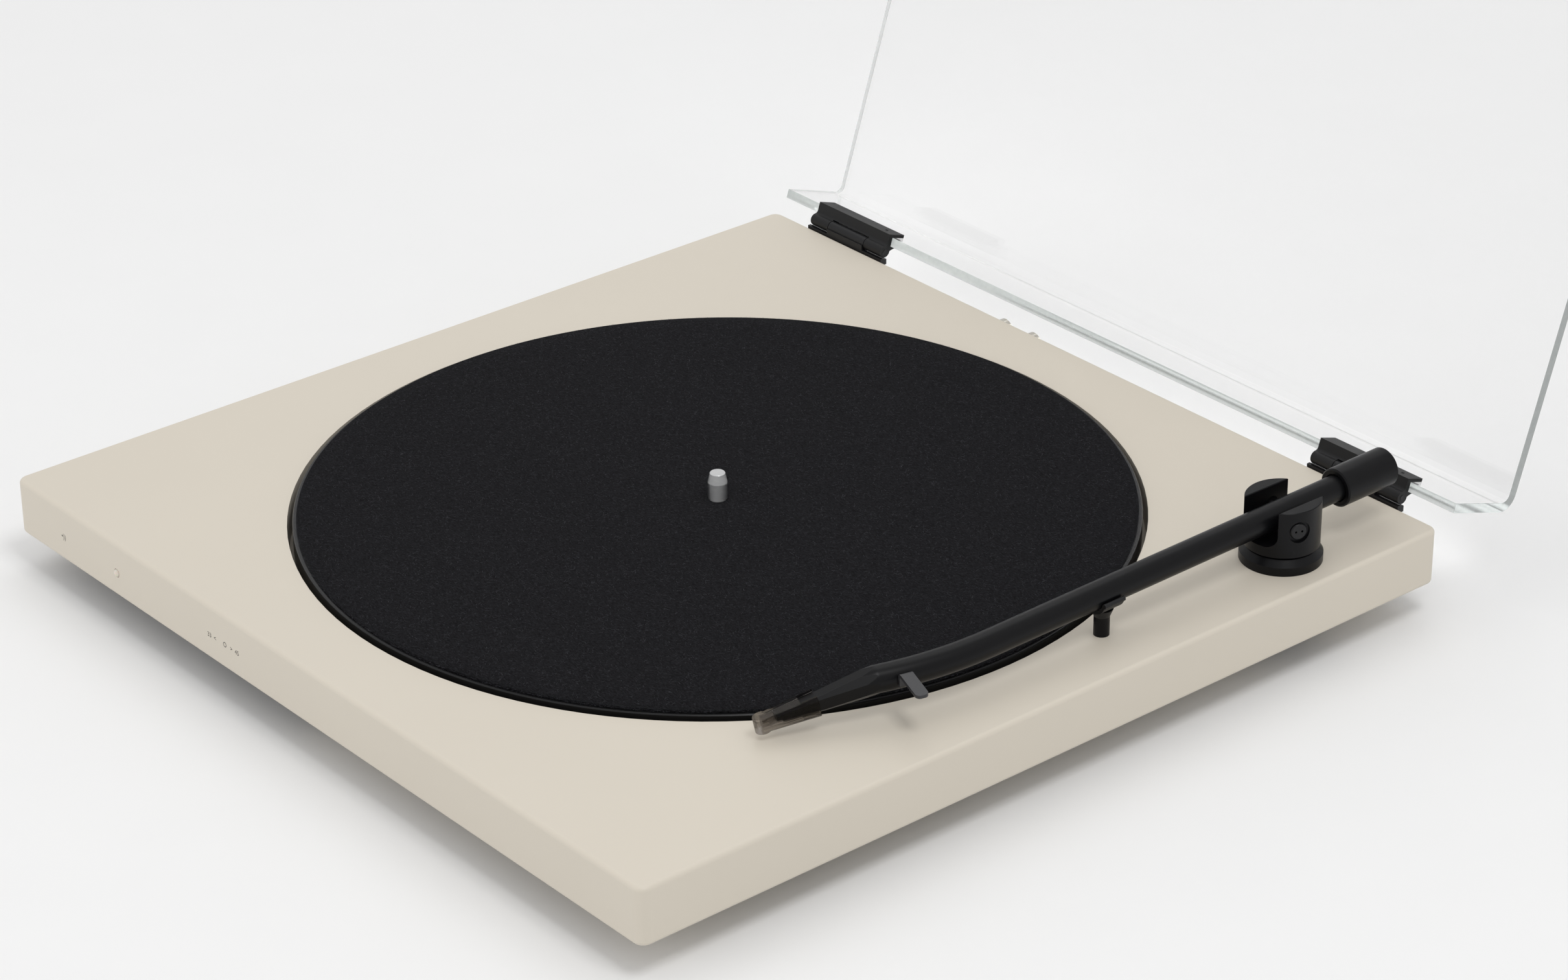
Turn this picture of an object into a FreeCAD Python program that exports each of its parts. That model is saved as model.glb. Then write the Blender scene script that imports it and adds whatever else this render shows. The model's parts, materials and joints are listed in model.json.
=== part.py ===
import FreeCAD, Part
import math
import os

# Belt-driven turntable with a bent tube arm and a clear lid on two clip hinges.
# Millimetres. Origin: platter axis, on the record plane (the top of the felt mat).
# +Z up, +Y to the rear (hinge side), +X to the right (arm side).

os.makedirs("parts", exist_ok=True)

# ---------------------------------------------------------------- driving sizes
fit_gap = 0.03            # fixed pieces nested in each other
running_gap = 0.05        # shafts and pins that turn or slide in a bore
moving_gap = 0.3          # faces of different moving bodies

# plinth
plinth_width = 357.0
plinth_depth = 354.0
plinth_thickness = 21.2
plinth_corner_round = 4.0
plinth_edge_round = 1.6
mat_above_deck = 2.1
pocket_wall = 5.5         # wood left between a pocket and the outside face
pocket_roof = 4.0         # wood left above a pocket

# platter, mat and main bearing
platter_radius = 148.8
platter_gap = 1.9
platter_plate = 3.0
platter_rim_wall = 5.0
platter_rim_height = 9.0
recess_depth = 12.5
mat_radius = 147.4
mat_thickness = 0.9
spindle_radius = 3.55
spindle_straight = 6.3
spindle_height = 9.9
spindle_tip_radius = 2.75
spindle_base_radius = 4.2 # shoulder in the platter's bore
spindle_mat_gap = 0.8     # mat's hole, all round
hub_seat_radius = 5.0
journal_radius = 4.0
journal_length = 18.0
bush_wall = 2.0
housing_wall = 2.0
housing_flange_radius = 18.0
housing_flange = 3.0
thrust_ball_radius = 1.6
sub_platter_radius = 62.0
sub_platter_thickness = 6.0
sub_platter_web = 2.5
sub_platter_rim = 4.0
hub_radius = 10.0

# belt and motor
pulley_radius = 6.5
pulley_height = 6.0
belt_width = 4.0
belt_thickness = 0.7
motor_reach = 104.7       # platter axis to motor axis
motor_angle = 225.0       # direction of the motor, degrees from +X
motor_radius = 13.0
motor_height = 15.0
motor_shaft_radius = 1.0
motor_plate_radius = 22.0
motor_plate_thickness = 2.0
motor_cover_wall = 1.5

# feet
foot_height = 13.0
foot_radius = 14.0
foot_waist = 11.0
foot_pad = 2.0
foot_across = 129.0       # foot axis to the middle, left and right
foot_along = 127.5        # foot axis to the middle, front and rear

# controls under the front edge
control_x_low = -160.0
control_x_high = -22.0
control_pocket = 17.5     # front to back
cover_thickness = 2.0
cover_rim = 3.0           # cover beyond the pocket on each side
led_x = -113.4
led_height = 9.5          # above the plinth's underside
led_radius = 1.5
led_proud = 1.0
speed_switch_x = -46.3
speed_travel = 5.0        # each way from the middle, off position
pair_button_x = -147.5
pair_button_radius = 3.0
pair_travel = 1.0

# rear sockets
jack_centre_x = -30.0
jack_plate_width = 84.0
jack_plate_height = 15.0
jack_plate_thickness = 1.5
jack_pocket_width = 76.0
rca_radius = 4.15
rca_length = 9.0
rca_spacing = 16.0

# arm pivot
pivot_x = 156.9
pivot_y = 120.5
base_radius = 14.5
base_side = 3.2
base_top_radius = 12.6
base_height = 5.6
base_groove = 0.8
yoke_radius = 13.3
yoke_top = 23.5           # above the deck
slot_side_gap = 3.55       # arm to each ear
slot_bottom = 10.0        # above the deck
slot_corner = 4.0
yoke_bevel = 0.25
bearing_height = 16.0     # lift axis above the deck
pivot_shaft_radius = 3.0
swing_bearing_radius = 6.5
swing_bearing_height = 4.0
stem_radius = 8.5
base_nut_height = 5.0
base_nut_radius = 13.0
pivot_screw_radius = 3.05
pivot_recess_radius = 4.0
pivot_recess = 1.2
pivot_pin_radius = 1.2

# arm
arm_yaw = -1.0            # at rest, about +Z
arm_pitch = 1.26          # at rest, head end down
arm_radius = 4.7
arm_wall = 0.8
arm_above_bearing = 1.5
arm_front = 133.3         # bearing to where the bend starts
arm_rear = 43.0           # bearing to the tube's rear end
bend_radius = 130.0
bend_angle = 19.0
head_drop = 10.8          # wedge below the tube's line, degrees
head_length = 35.0
head_plug = 4.0           # wedge's plug inside the tube
head_mid = 19.0
head_mid_width = 5.6
head_mid_height = 5.8
head_mid_bevel = 0.9
head_tip_width = 3.8
head_tip_height = 2.4
head_tip_bevel = 0.4
head_top_fall = 1.15       # top face, from the middle section to the tip
cartridge_depth = 2.3      # below the wedge's line, at its rear
cartridge_front_depth = 1.5
guard_start = 20.8
guard_end = 42.4
guard_wall = 0.7
guard_slack = 0.35
guard_nose_width = 5.6
guard_nose_height = 5.2
guard_window = 5.5
guard_slit = 2.4           # under the stylus
guard_travel = 10.0
lift_width = 4.6
lift_thickness = 1.2
lift_reach = 14.0
lift_rise = 3.4
lift_foot = -1.2          # riser's lower end, from the bar's line
lift_droop = 6.0          # degrees
lift_bend_radius = 1.5    # outside of the bend
lift_corner = 1.6
lift_back = 8.0           # behind the wedge's start
weight_wall = 2.3
weight_length = 24.3
weight_start = 25.2       # bearing to the weight's front face
weight_end_wall = 2.5
weight_bevel = 0.5
weight_mouth_gap = 0.4      # wider bore at the front face
weight_mouth_depth = 2.0
ring_width = 2.0          # rubber ring inside the weight

# arm rest
rest_reach = 83.5         # pivot axis to the post
rest_post_radius = 2.75
rest_clip_length = 9.0
rest_clip_wall = 1.2
rest_clip_angle = 75.0
rest_flare_radius = 3.9
rest_flare_height = 2.4

# hinges and lid
hinge_offset = 137.0      # centre of each hinge from the middle
hinge_width = 42.0
hinge_knuckle_radius = 2.4
hinge_pin_radius = 1.0
hinge_axis_back = 3.0     # behind the plinth's rear face
hinge_axis_up = 2.7       # above the deck
hinge_plate_thickness = 1.2
hinge_plate_height = 16.0
hinge_plate_extra = 0.9   # beyond the clip at each end
hinge_plate_top = 0.6     # above the deck
hinge_cradle = 2.2        # ledge under the knuckles, below the deck
knuckle_share = 0.5       # the plate's middle knuckle, share of the hinge's width
clip_web = 2.0
clip_web_start = 0.3
clip_jaw = 1.3
clip_upper_reach = 8.3
clip_lower_reach = 7.0
clip_lower_thickness = 1.6
clip_point = 0.3          # lower jaw's thickness at its tip
clip_blend = 1.5          # hollow between web and knuckle
clip_rear_angle = 8.0     # where the lower jaw leaves the knuckle, degrees
lid_width = 358.4
lid_thickness = 3.6
lid_bend = 3.0            # inside radius
lid_clear_height = 31.0   # pin to the sheet's inner face, lid closed
lid_front_overhang = 1.0
lid_open_angle = 108.5

# fasteners
small_screw_radius = 1.25
small_head_radius = 2.4
small_head_height = 1.4
small_screw_length = 7.0

# ---------------------------------------------------------------- derived levels
deck_z = -mat_above_deck
under_z = deck_z - plinth_thickness
floor_z = under_z - foot_height
front_y = -plinth_depth / 2
rear_y = plinth_depth / 2
platter_top_z = -mat_thickness
platter_under_z = platter_top_z - platter_plate
recess_z = deck_z - recess_depth
recess_radius = platter_radius + platter_gap
pocket_top_z = deck_z - pocket_roof
sub_under_z = platter_under_z - sub_platter_thickness
seat_top_z = platter_under_z - sub_platter_web
hub_under_z = sub_under_z - 1.0
flange_top_z = recess_z + housing_flange
shaft_end_z = hub_under_z - journal_length
ball_z = shaft_end_z - running_gap - thrust_ball_radius
bush_radius = journal_radius + fit_gap + bush_wall
housing_radius = bush_radius + fit_gap + housing_wall
housing_end_z = ball_z - thrust_ball_radius - 1.4
motor_x = motor_reach * math.cos(math.radians(motor_angle))
motor_y = motor_reach * math.sin(math.radians(motor_angle))
board_z = under_z + 12.9
board_thickness = 1.6
slot_width = 2 * (arm_radius + slot_side_gap)
weight_radius = arm_radius + weight_wall
ring_depth = 0.6 * weight_wall
ring_low = weight_start + 4.0
rest_x = pivot_x - rest_reach * math.sin(math.radians(-arm_yaw))
rest_y = pivot_y - rest_reach * math.cos(math.radians(-arm_yaw))
hinge_y = rear_y + hinge_axis_back
hinge_z = deck_z + hinge_axis_up

X = FreeCAD.Vector(1, 0, 0)
Y = FreeCAD.Vector(0, 1, 0)
Z = FreeCAD.Vector(0, 0, 1)


# ---------------------------------------------------------------- shape helpers
def vec(x, y, z=0.0):
    return FreeCAD.Vector(x, y, z)


def cylinder(radius, z_low, z_high, x=0.0, y=0.0):
    return Part.makeCylinder(radius, z_high - z_low, vec(x, y, z_low), Z)


def rod(radius, start, direction, length):
    return Part.makeCylinder(radius, length, start, direction)


def ring(outer, inner, z_low, z_high, x=0.0, y=0.0):
    return cylinder(outer, z_low, z_high, x, y).cut(cylinder(inner, z_low, z_high, x, y))


def box(x_low, x_high, y_low, y_high, z_low, z_high):
    return Part.makeBox(x_high - x_low, y_high - y_low, z_high - z_low, vec(x_low, y_low, z_low))


def prism(points, direction):
    wire = Part.makePolygon(points + [points[0]])
    return Part.Face(wire).extrude(direction)


def turned(profile):
    """Solid of revolution about Z from (radius, z) points, closed along the axis."""
    points = [vec(r, 0, z) for r, z in profile]
    wire = Part.makePolygon(points + [points[0]])
    return Part.Face(wire).revolve(vec(0, 0, 0), Z, 360)


def vertical_edges(shape):
    found = []
    for edge in shape.Edges:
        low, high = edge.BoundBox.ZMin, edge.BoundBox.ZMax
        wide = max(edge.BoundBox.XLength, edge.BoundBox.YLength)
        if high - low > 1e-6 and wide < 1e-6:
            found.append(edge)
    return found


def rounded_box(x_low, x_high, y_low, y_high, z_low, z_high, corner):
    block = box(x_low, x_high, y_low, y_high, z_low, z_high)
    return block.makeFillet(corner, vertical_edges(block))


def moved(shape, placement):
    copy = shape.copy()
    copy.Placement = placement.multiply(copy.Placement)
    return copy


def save(name, *solids):
    shape = solids[0] if len(solids) == 1 else Part.makeCompound(list(solids))
    shape.exportStep("parts/" + name + ".step")


def screw_up(x, y, z_seat, length=small_screw_length):
    """Pan-head screw driven upwards: the head lies below z_seat."""
    head = cylinder(small_head_radius, z_seat - small_head_height, z_seat, x, y)
    slot = box(x - small_head_radius, x + small_head_radius, y - 0.3, y + 0.3,
               z_seat - small_head_height, z_seat - small_head_height + 0.6)
    shank = cylinder(small_screw_radius, z_seat, z_seat + length, x, y)
    return head.cut(slot).fuse(shank)


def screw_down(x, y, z_seat, length=small_screw_length):
    """The same screw driven downwards: the head lies above z_seat."""
    up = screw_up(0, 0, 0, length)
    up.rotate(vec(0, 0, 0), X, 180)
    up.translate(vec(x, y, z_seat))
    return up


def screw_hole(x, y, z_low, z_high):
    return cylinder(small_screw_radius + fit_gap, z_low, z_high, x, y)


def circle_points(x, y, radius, count, first_angle):
    points = []
    for index in range(count):
        angle = math.radians(first_angle + 360.0 * index / count)
        points.append((x + radius * math.cos(angle), y + radius * math.sin(angle)))
    return points


# ---------------------------------------------------------------- places of fasteners
housing_screws = circle_points(0, 0, housing_flange_radius - 3.2, 3, 90)
motor_screws = circle_points(motor_x, motor_y, motor_plate_radius - 3.5, 3, motor_angle)
motor_cover_flange = motor_plate_radius + 5.0
motor_cover_screws = circle_points(motor_x, motor_y, motor_cover_flange - 3.4, 3, motor_angle + 60)
foot_places = []
for side_x, name_x in ((-1, "left"), (1, "right")):
    for side_y, name_y in ((-1, "front"), (1, "rear")):
        foot_places.append((name_y + "_" + name_x, side_x * foot_across, side_y * foot_along))
control_y_low = front_y + pocket_wall
control_y_high = control_y_low + control_pocket
jack_x_low = jack_centre_x - jack_pocket_width / 2
jack_x_high = jack_centre_x + jack_pocket_width / 2
jack_y_high = rear_y - pocket_wall
jack_y_low = jack_y_high - control_pocket
cover_inset = 3.2         # cover screw to the cover's end
control_cover_screws = [(control_x_low - cover_rim - cover_inset, (control_y_low + control_y_high) / 2),
                        (control_x_high + cover_rim + cover_inset, (control_y_low + control_y_high) / 2)]
jack_cover_screws = [(jack_x_low - cover_rim - cover_inset, (jack_y_low + jack_y_high) / 2),
                     (jack_x_high + cover_rim + cover_inset, (jack_y_low + jack_y_high) / 2)]
cover_end = cover_rim + 2 * cover_inset
hinge_places = [-hinge_offset, hinge_offset]
hinge_screw_z = deck_z - 10.0
jack_mid_z = (deck_z + under_z) / 2


# ---------------------------------------------------------------- plinth
def control_cover_outline(z_low, z_high, slack):
    return rounded_box(control_x_low - cover_end - slack, control_x_high + cover_end + slack,
                       control_y_low - slack - 0.6, control_y_high + slack + 0.6,
                       z_low, z_high, 2.0 + slack)


def jack_cover_outline(z_low, z_high, slack):
    return rounded_box(jack_x_low - cover_end - slack, jack_x_high + cover_end + slack,
                       jack_y_low - slack - 0.6, jack_y_high + slack + 0.6,
                       z_low, z_high, 2.0 + slack)


def make_plinth():
    body = rounded_box(-plinth_width / 2, plinth_width / 2, front_y, rear_y,
                       under_z, deck_z, plinth_corner_round)
    rims = []
    for edge in body.Edges:
        flat = edge.BoundBox.ZLength < 1e-6
        if flat:
            rims.append(edge)
    body = body.makeFillet(plinth_edge_round, rims)
    cuts = [cylinder(recess_radius, recess_z, deck_z + 1)]
    cuts.append(cylinder(housing_radius + moving_gap, under_z - 1, recess_z + 1))
    cuts.append(cylinder(motor_radius + 1.5, under_z - 1, recess_z + 1, motor_x, motor_y))
    cuts.append(cylinder(stem_radius + 0.2, under_z - 1, deck_z + 1, pivot_x, pivot_y))
    nut_pocket_top = deck_z - plinth_thickness + 8.0
    cuts.append(cylinder(base_nut_radius + 3.5, under_z - 1, nut_pocket_top, pivot_x, pivot_y))
    cuts.append(rounded_box(control_x_low, control_x_high, control_y_low, control_y_high,
                            under_z - 1, pocket_top_z, 3.0))
    cuts.append(control_cover_outline(under_z - 1, under_z + cover_thickness, 0.15))
    cuts.append(rounded_box(jack_x_low, jack_x_high, jack_y_low, jack_y_high,
                            under_z - 1, pocket_top_z, 3.0))
    cuts.append(jack_cover_outline(under_z - 1, under_z + cover_thickness, 0.15))
    cuts.append(box(jack_x_low + 2, jack_x_high - 2, jack_y_high - 1, rear_y + 1,
                    jack_mid_z - jack_plate_height / 2 + 2, jack_mid_z + jack_plate_height / 2 - 2))
    cuts.append(rod(led_radius + 0.1, vec(led_x, front_y - 1, under_z + led_height), Y, pocket_wall + 3))
    cuts.append(cylinder(rest_post_radius - 1.2 + fit_gap, deck_z - 9.0, deck_z + 1, rest_x, rest_y))
    for x, y in housing_screws + motor_screws:
        cuts.append(screw_hole(x, y, recess_z - small_screw_length, recess_z + 1))
    for x, y in motor_cover_screws:
        cuts.append(screw_hole(x, y, under_z - 1, under_z + small_screw_length))
    for x, y in control_cover_screws + jack_cover_screws:
        cuts.append(screw_hole(x, y, under_z, under_z + cover_thickness + small_screw_length))
    for _, x, y in foot_places:
        cuts.append(screw_hole(x, y, under_z - 1, under_z + small_screw_length))
    for centre in hinge_places:
        for side in (-1, 1):
            start = vec(centre + side * hinge_width / 4, rear_y + 1, hinge_screw_z)
            cuts.append(rod(small_screw_radius + fit_gap, start, -Y, small_screw_length + 1))
    for side in (-1, 1):
        start = vec(jack_centre_x + side * (jack_plate_width / 2 - 2.6), rear_y + 1, jack_mid_z)
        cuts.append(rod(small_screw_radius + fit_gap, start, -Y, small_screw_length + 1))
    for cut in cuts:
        body = body.cut(cut)
    return body


# ---------------------------------------------------------------- main bearing and platter
def make_bearing_housing():
    body = cylinder(housing_flange_radius, recess_z, flange_top_z)
    body = body.fuse(cylinder(housing_radius, housing_end_z, recess_z))
    bore = cylinder(bush_radius + fit_gap, ball_z, flange_top_z + 1)
    seat = cylinder(thrust_ball_radius + fit_gap, ball_z - thrust_ball_radius, ball_z)
    body = body.cut(bore).cut(seat)
    for x, y in housing_screws:
        body = body.cut(screw_hole(x, y, recess_z - 1, flange_top_z + 1))
    return body


def make_bearing_bush():
    inner = journal_radius + fit_gap
    return ring(bush_radius, inner, ball_z + thrust_ball_radius, flange_top_z - 0.3)


def make_thrust_ball():
    return Part.makeSphere(thrust_ball_radius, vec(0, 0, ball_z))


def make_spindle_shaft():
    return turned([(0, shaft_end_z), (journal_radius - 0.5, shaft_end_z),
                   (journal_radius, shaft_end_z + 0.5), (journal_radius, hub_under_z),
                   (hub_seat_radius, hub_under_z), (hub_seat_radius, seat_top_z),
                   (spindle_base_radius, seat_top_z), (spindle_base_radius, platter_top_z),
                   (spindle_radius, platter_top_z), (spindle_radius, spindle_straight),
                   (spindle_tip_radius, spindle_height - 0.2),
                   (spindle_tip_radius - 0.2, spindle_height), (0, spindle_height)])


def make_sub_platter():
    body = cylinder(sub_platter_radius, sub_under_z, platter_under_z)
    body = body.fuse(cylinder(hub_radius, hub_under_z, sub_under_z))
    hollow = ring(sub_platter_radius - sub_platter_rim, hub_radius + 1.5, sub_under_z - 1, seat_top_z)
    body = body.cut(hollow)
    body = body.cut(cylinder(hub_seat_radius + fit_gap, hub_under_z - 1, seat_top_z))
    return body.cut(cylinder(spindle_base_radius + fit_gap, seat_top_z - 1, platter_under_z + 1))


def make_platter():
    rim_low = platter_top_z - platter_rim_height
    inner = platter_radius - platter_rim_wall
    edge = 0.35
    profile = [(spindle_base_radius + fit_gap, platter_under_z), (inner, platter_under_z), (inner, rim_low),
               (platter_radius - edge, rim_low), (platter_radius, rim_low + edge),
               (platter_radius, platter_top_z - edge), (platter_radius - edge, platter_top_z),
               (spindle_base_radius + fit_gap, platter_top_z)]
    return turned(profile)


def make_mat():
    return ring(mat_radius, spindle_radius + spindle_mat_gap, platter_top_z, 0)


# ---------------------------------------------------------------- motor and belt
def belt_outline(offset, z_low, z_high):
    """Loop round the sub-platter and the pulley, offset outwards from both."""
    big = sub_platter_radius + offset
    small = pulley_radius + offset
    lean = math.degrees(math.asin((big - small) / motor_reach))
    along = motor_angle
    points = []
    for radius, centre, angle in ((big, (0, 0), along + 90 - lean), (big, (0, 0), along + 180),
                                  (big, (0, 0), along - 90 + lean),
                                  (small, (motor_x, motor_y), along - 90 + lean),
                                  (small, (motor_x, motor_y), along),
                                  (small, (motor_x, motor_y), along + 90 - lean)):
        turn = math.radians(angle)
        points.append(vec(centre[0] + radius * math.cos(turn), centre[1] + radius * math.sin(turn), z_low))
    edges = [Part.Arc(points[0], points[1], points[2]).toShape(),
             Part.LineSegment(points[2], points[3]).toShape(),
             Part.Arc(points[3], points[4], points[5]).toShape(),
             Part.LineSegment(points[5], points[0]).toShape()]
    return Part.Face(Part.Wire(edges)).extrude(vec(0, 0, z_high - z_low))


def make_belt():
    low = sub_under_z + (sub_platter_thickness - belt_width) / 2
    outer = belt_outline(moving_gap + belt_thickness, low, low + belt_width)
    inner = belt_outline(moving_gap, low, low + belt_width)
    return outer.cut(inner)


pulley_top_z = platter_under_z - 0.7
pulley_low_z = pulley_top_z - pulley_height


def make_motor_pulley():
    edge = 0.5
    profile = [(motor_shaft_radius + fit_gap, pulley_low_z), (pulley_radius - edge, pulley_low_z),
               (pulley_radius, pulley_low_z + edge), (pulley_radius, pulley_top_z - edge),
               (pulley_radius - edge, pulley_top_z), (motor_shaft_radius + fit_gap, pulley_top_z)]
    return moved(turned(profile), FreeCAD.Placement(vec(motor_x, motor_y, 0), FreeCAD.Rotation()))


def make_motor_shaft():
    return cylinder(motor_shaft_radius, recess_z - motor_height / 2, pulley_top_z, motor_x, motor_y)


def make_motor():
    body = cylinder(motor_radius, recess_z - motor_height, recess_z, motor_x, motor_y)
    boss = cylinder(3.0, recess_z, recess_z + motor_plate_thickness, motor_x, motor_y)
    low = recess_z - motor_height / 2 - 0.5
    bore = cylinder(motor_shaft_radius + running_gap, low, recess_z + 4, motor_x, motor_y)
    return body.fuse(boss).cut(bore)


def make_motor_plate():
    high = recess_z + motor_plate_thickness
    body = ring(motor_plate_radius, 3.0 + fit_gap, recess_z, high, motor_x, motor_y)
    for x, y in motor_screws:
        body = body.cut(screw_hole(x, y, recess_z - 1, high + 1))
    return body


def make_motor_cover():
    depth = motor_height - (recess_z - under_z) + 0.6
    low = under_z - depth - motor_cover_wall
    outer_radius = motor_radius + 3.0 + motor_cover_wall
    cup = cylinder(outer_radius, low, under_z, motor_x, motor_y)
    cup = cup.fuse(cylinder(motor_cover_flange, under_z - motor_cover_wall, under_z, motor_x, motor_y))
    cup = cup.cut(cylinder(motor_radius + 3.0, low + motor_cover_wall, under_z + 1, motor_x, motor_y))
    for x, y in motor_cover_screws:
        cup = cup.cut(screw_hole(x, y, under_z - 3, under_z + 1))
    return cup


# ---------------------------------------------------------------- feet
def make_foot(x, y):
    low = floor_z + foot_pad
    body = Part.makeCone(foot_waist, foot_radius, under_z - low, vec(x, y, low), Z)
    head_room = cylinder(small_head_radius + 0.6, low - 1, under_z - 2.5, x, y)
    pad_seat = cylinder(foot_waist - 1.5 + fit_gap, low - 1, low + 0.8, x, y)
    return body.cut(head_room).cut(pad_seat).cut(screw_hole(x, y, low, under_z + 1))


def make_foot_pad(x, y):
    return cylinder(foot_waist - 1.5, floor_z, floor_z + foot_pad + 0.8, x, y)


# ---------------------------------------------------------------- controls
cover_screw_seat = under_z + 0.6


def make_control_cover():
    body = control_cover_outline(under_z + 0.2, under_z + cover_thickness, 0)
    middle = (control_y_low + control_y_high) / 2
    half_slot = speed_travel + 2.5 + moving_gap
    body = body.cut(rounded_box(speed_switch_x - half_slot, speed_switch_x + half_slot,
                                middle - 1.5 - moving_gap, middle + 1.5 + moving_gap,
                                under_z - 1, under_z + 4, 1.0))
    body = body.cut(cylinder(pair_button_radius + moving_gap, under_z - 1, under_z + 4, pair_button_x, middle))
    for x, y in control_cover_screws:
        body = body.cut(screw_hole(x, y, under_z - 1, under_z + 4))
        body = body.cut(cylinder(small_head_radius + 0.2, under_z - 1, under_z + 0.9, x, y))
    return body


def make_jack_cover():
    body = jack_cover_outline(under_z + 0.2, under_z + cover_thickness, 0)
    for x, y in jack_cover_screws:
        body = body.cut(screw_hole(x, y, under_z - 1, under_z + 4))
        body = body.cut(cylinder(small_head_radius + 0.2, under_z - 1, under_z + 0.9, x, y))
    return body


def cover_screw(x, y):
    seat = under_z + 0.9
    head = cylinder(small_head_radius, seat - 0.8, seat, x, y)
    slot = box(x - 3, x + 3, y - 0.3, y + 0.3, seat - 1, seat - 0.4)
    return head.cut(slot).fuse(cylinder(small_screw_radius, seat, seat + small_screw_length, x, y))


def make_control_board():
    body = box(control_x_low + 2, control_x_high - 2, control_y_low + 0.1, control_y_high - 0.1,
               board_z, board_z + board_thickness)
    roof_gap = pocket_top_z - board_z - board_thickness
    for x in (control_x_low + 5, (led_x + speed_switch_x) / 2, control_x_high - 5):
        y = (control_y_low + control_y_high) / 2
        body = body.fuse(cylinder(2.5, board_z + board_thickness, board_z + board_thickness + roof_gap, x, y))
    return body


def make_speed_switch():
    middle = (control_y_low + control_y_high) / 2
    body = box(speed_switch_x - 12, speed_switch_x + 12, middle - 5, middle + 5, board_z - 7.0, board_z)
    half_slot = speed_travel + 2.5 + moving_gap
    slot = box(speed_switch_x - half_slot, speed_switch_x + half_slot,
               middle - 1.5 - moving_gap, middle + 1.5 + moving_gap, board_z - 8.0, board_z - 3.0)
    return body.cut(slot)


def make_speed_lever():
    middle = (control_y_low + control_y_high) / 2
    stem = box(speed_switch_x - 2.5, speed_switch_x + 2.5, middle - 1.5, middle + 1.5,
               under_z - 1.0, board_z - 3.0 - moving_gap)
    pad = rounded_box(speed_switch_x - 7, speed_switch_x + 7, middle - 4, middle + 4,
                      under_z - 4.2, under_z - moving_gap, 2.5)
    grips = []
    for step in (-4, -2, 0, 2, 4):
        grips.append(box(speed_switch_x + step - 0.4, speed_switch_x + step + 0.4,
                         middle - 5, middle + 5, under_z - 4.3, under_z - 3.7))
    for grip in grips:
        pad = pad.cut(grip)
    return pad.fuse(stem)


def make_pair_switch():
    middle = (control_y_low + control_y_high) / 2
    body = box(pair_button_x - 3, pair_button_x + 3, middle - 3, middle + 3, board_z - 4.0, board_z)
    return body.fuse(cylinder(1.5, board_z - 4.3, board_z - 4.0, pair_button_x, middle))


def make_pair_button():
    middle = (control_y_low + control_y_high) / 2
    top = board_z - 4.3 - pair_travel - moving_gap
    cap = cylinder(pair_button_radius, under_z - 1.6, top, pair_button_x, middle)
    flange_low = under_z + cover_thickness + moving_gap
    return cap.fuse(cylinder(pair_button_radius + 1.2, flange_low, flange_low + 1.0, pair_button_x, middle))


def make_status_led():
    z = under_z + led_height
    start = front_y - led_proud + led_radius
    body = rod(led_radius, vec(led_x, start, z), Y, control_y_low + 1.0 - start)
    dome = Part.makeSphere(led_radius, vec(led_x, start, z))
    legs = box(led_x - 0.9, led_x - 0.5, control_y_low + 0.6, control_y_low + 1.0, z, board_z)
    legs = legs.fuse(box(led_x + 0.5, led_x + 0.9, control_y_low + 0.6, control_y_low + 1.0, z, board_z))
    return body.fuse(dome).fuse(legs)


def make_wireless_module():
    middle = (control_y_low + control_y_high) / 2
    top = board_z + board_thickness
    body = box(pair_button_x + 8, pair_button_x + 26, middle - 6, middle + 6, top, top + 0.8)
    return body.fuse(box(pair_button_x + 12, pair_button_x + 24, middle - 5, middle + 5, top + 0.8, top + 2.0))


# ---------------------------------------------------------------- rear sockets
def jack_x(slot):
    return jack_centre_x - 24.0 + rca_spacing * slot


ground_x = jack_x(2)
dc_x = jack_x(3)
dc_radius = 4.0


def make_jack_plate():
    half_w, half_h = jack_plate_width / 2, jack_plate_height / 2
    body = box(jack_centre_x - half_w, jack_centre_x + half_w, rear_y, rear_y + jack_plate_thickness,
               jack_mid_z - half_h, jack_mid_z + half_h)
    for slot in (0, 1):
        body = body.cut(rod(rca_radius + fit_gap, vec(jack_x(slot), rear_y - 1, jack_mid_z), Y, 5))
    body = body.cut(rod(1.5 + fit_gap, vec(ground_x, rear_y - 1, jack_mid_z), Y, 5))
    body = body.cut(rod(dc_radius + fit_gap, vec(dc_x, rear_y - 1, jack_mid_z), Y, 5))
    for side in (-1, 1):
        start = vec(jack_centre_x + side * (half_w - 2.6), rear_y - 1, jack_mid_z)
        body = body.cut(rod(small_screw_radius + fit_gap, start, Y, 5))
    return body


def make_rca_jack(slot):
    x = jack_x(slot)
    back = jack_y_high - 4.0
    outer = rear_y + jack_plate_thickness + rca_length
    shell = rod(rca_radius, vec(x, back, jack_mid_z), Y, outer - back)
    socket = rod(1.6, vec(x, outer - 7.5, jack_mid_z), Y, 8)
    gap = rod(rca_radius - 0.5, vec(x, outer - 7.5, jack_mid_z), Y, 8)
    core = rod(2.9, vec(x, outer - 7.5, jack_mid_z), Y, 7.5)
    body = shell.cut(gap).fuse(core).cut(socket)
    nut = rod(rca_radius + 1.4, vec(x, rear_y + jack_plate_thickness, jack_mid_z), Y, 1.6)
    return body.fuse(nut.cut(rod(rca_radius - 0.2, vec(x, rear_y, jack_mid_z), Y, 6)))


def make_ground_post():
    start = rear_y + jack_plate_thickness
    body = rod(1.5, vec(ground_x, jack_y_high - 4.0, jack_mid_z), Y, start - jack_y_high + 10.0)
    return body.fuse(rod(3.6, vec(ground_x, start + 1.2, jack_mid_z), Y, 3.6))


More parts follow.
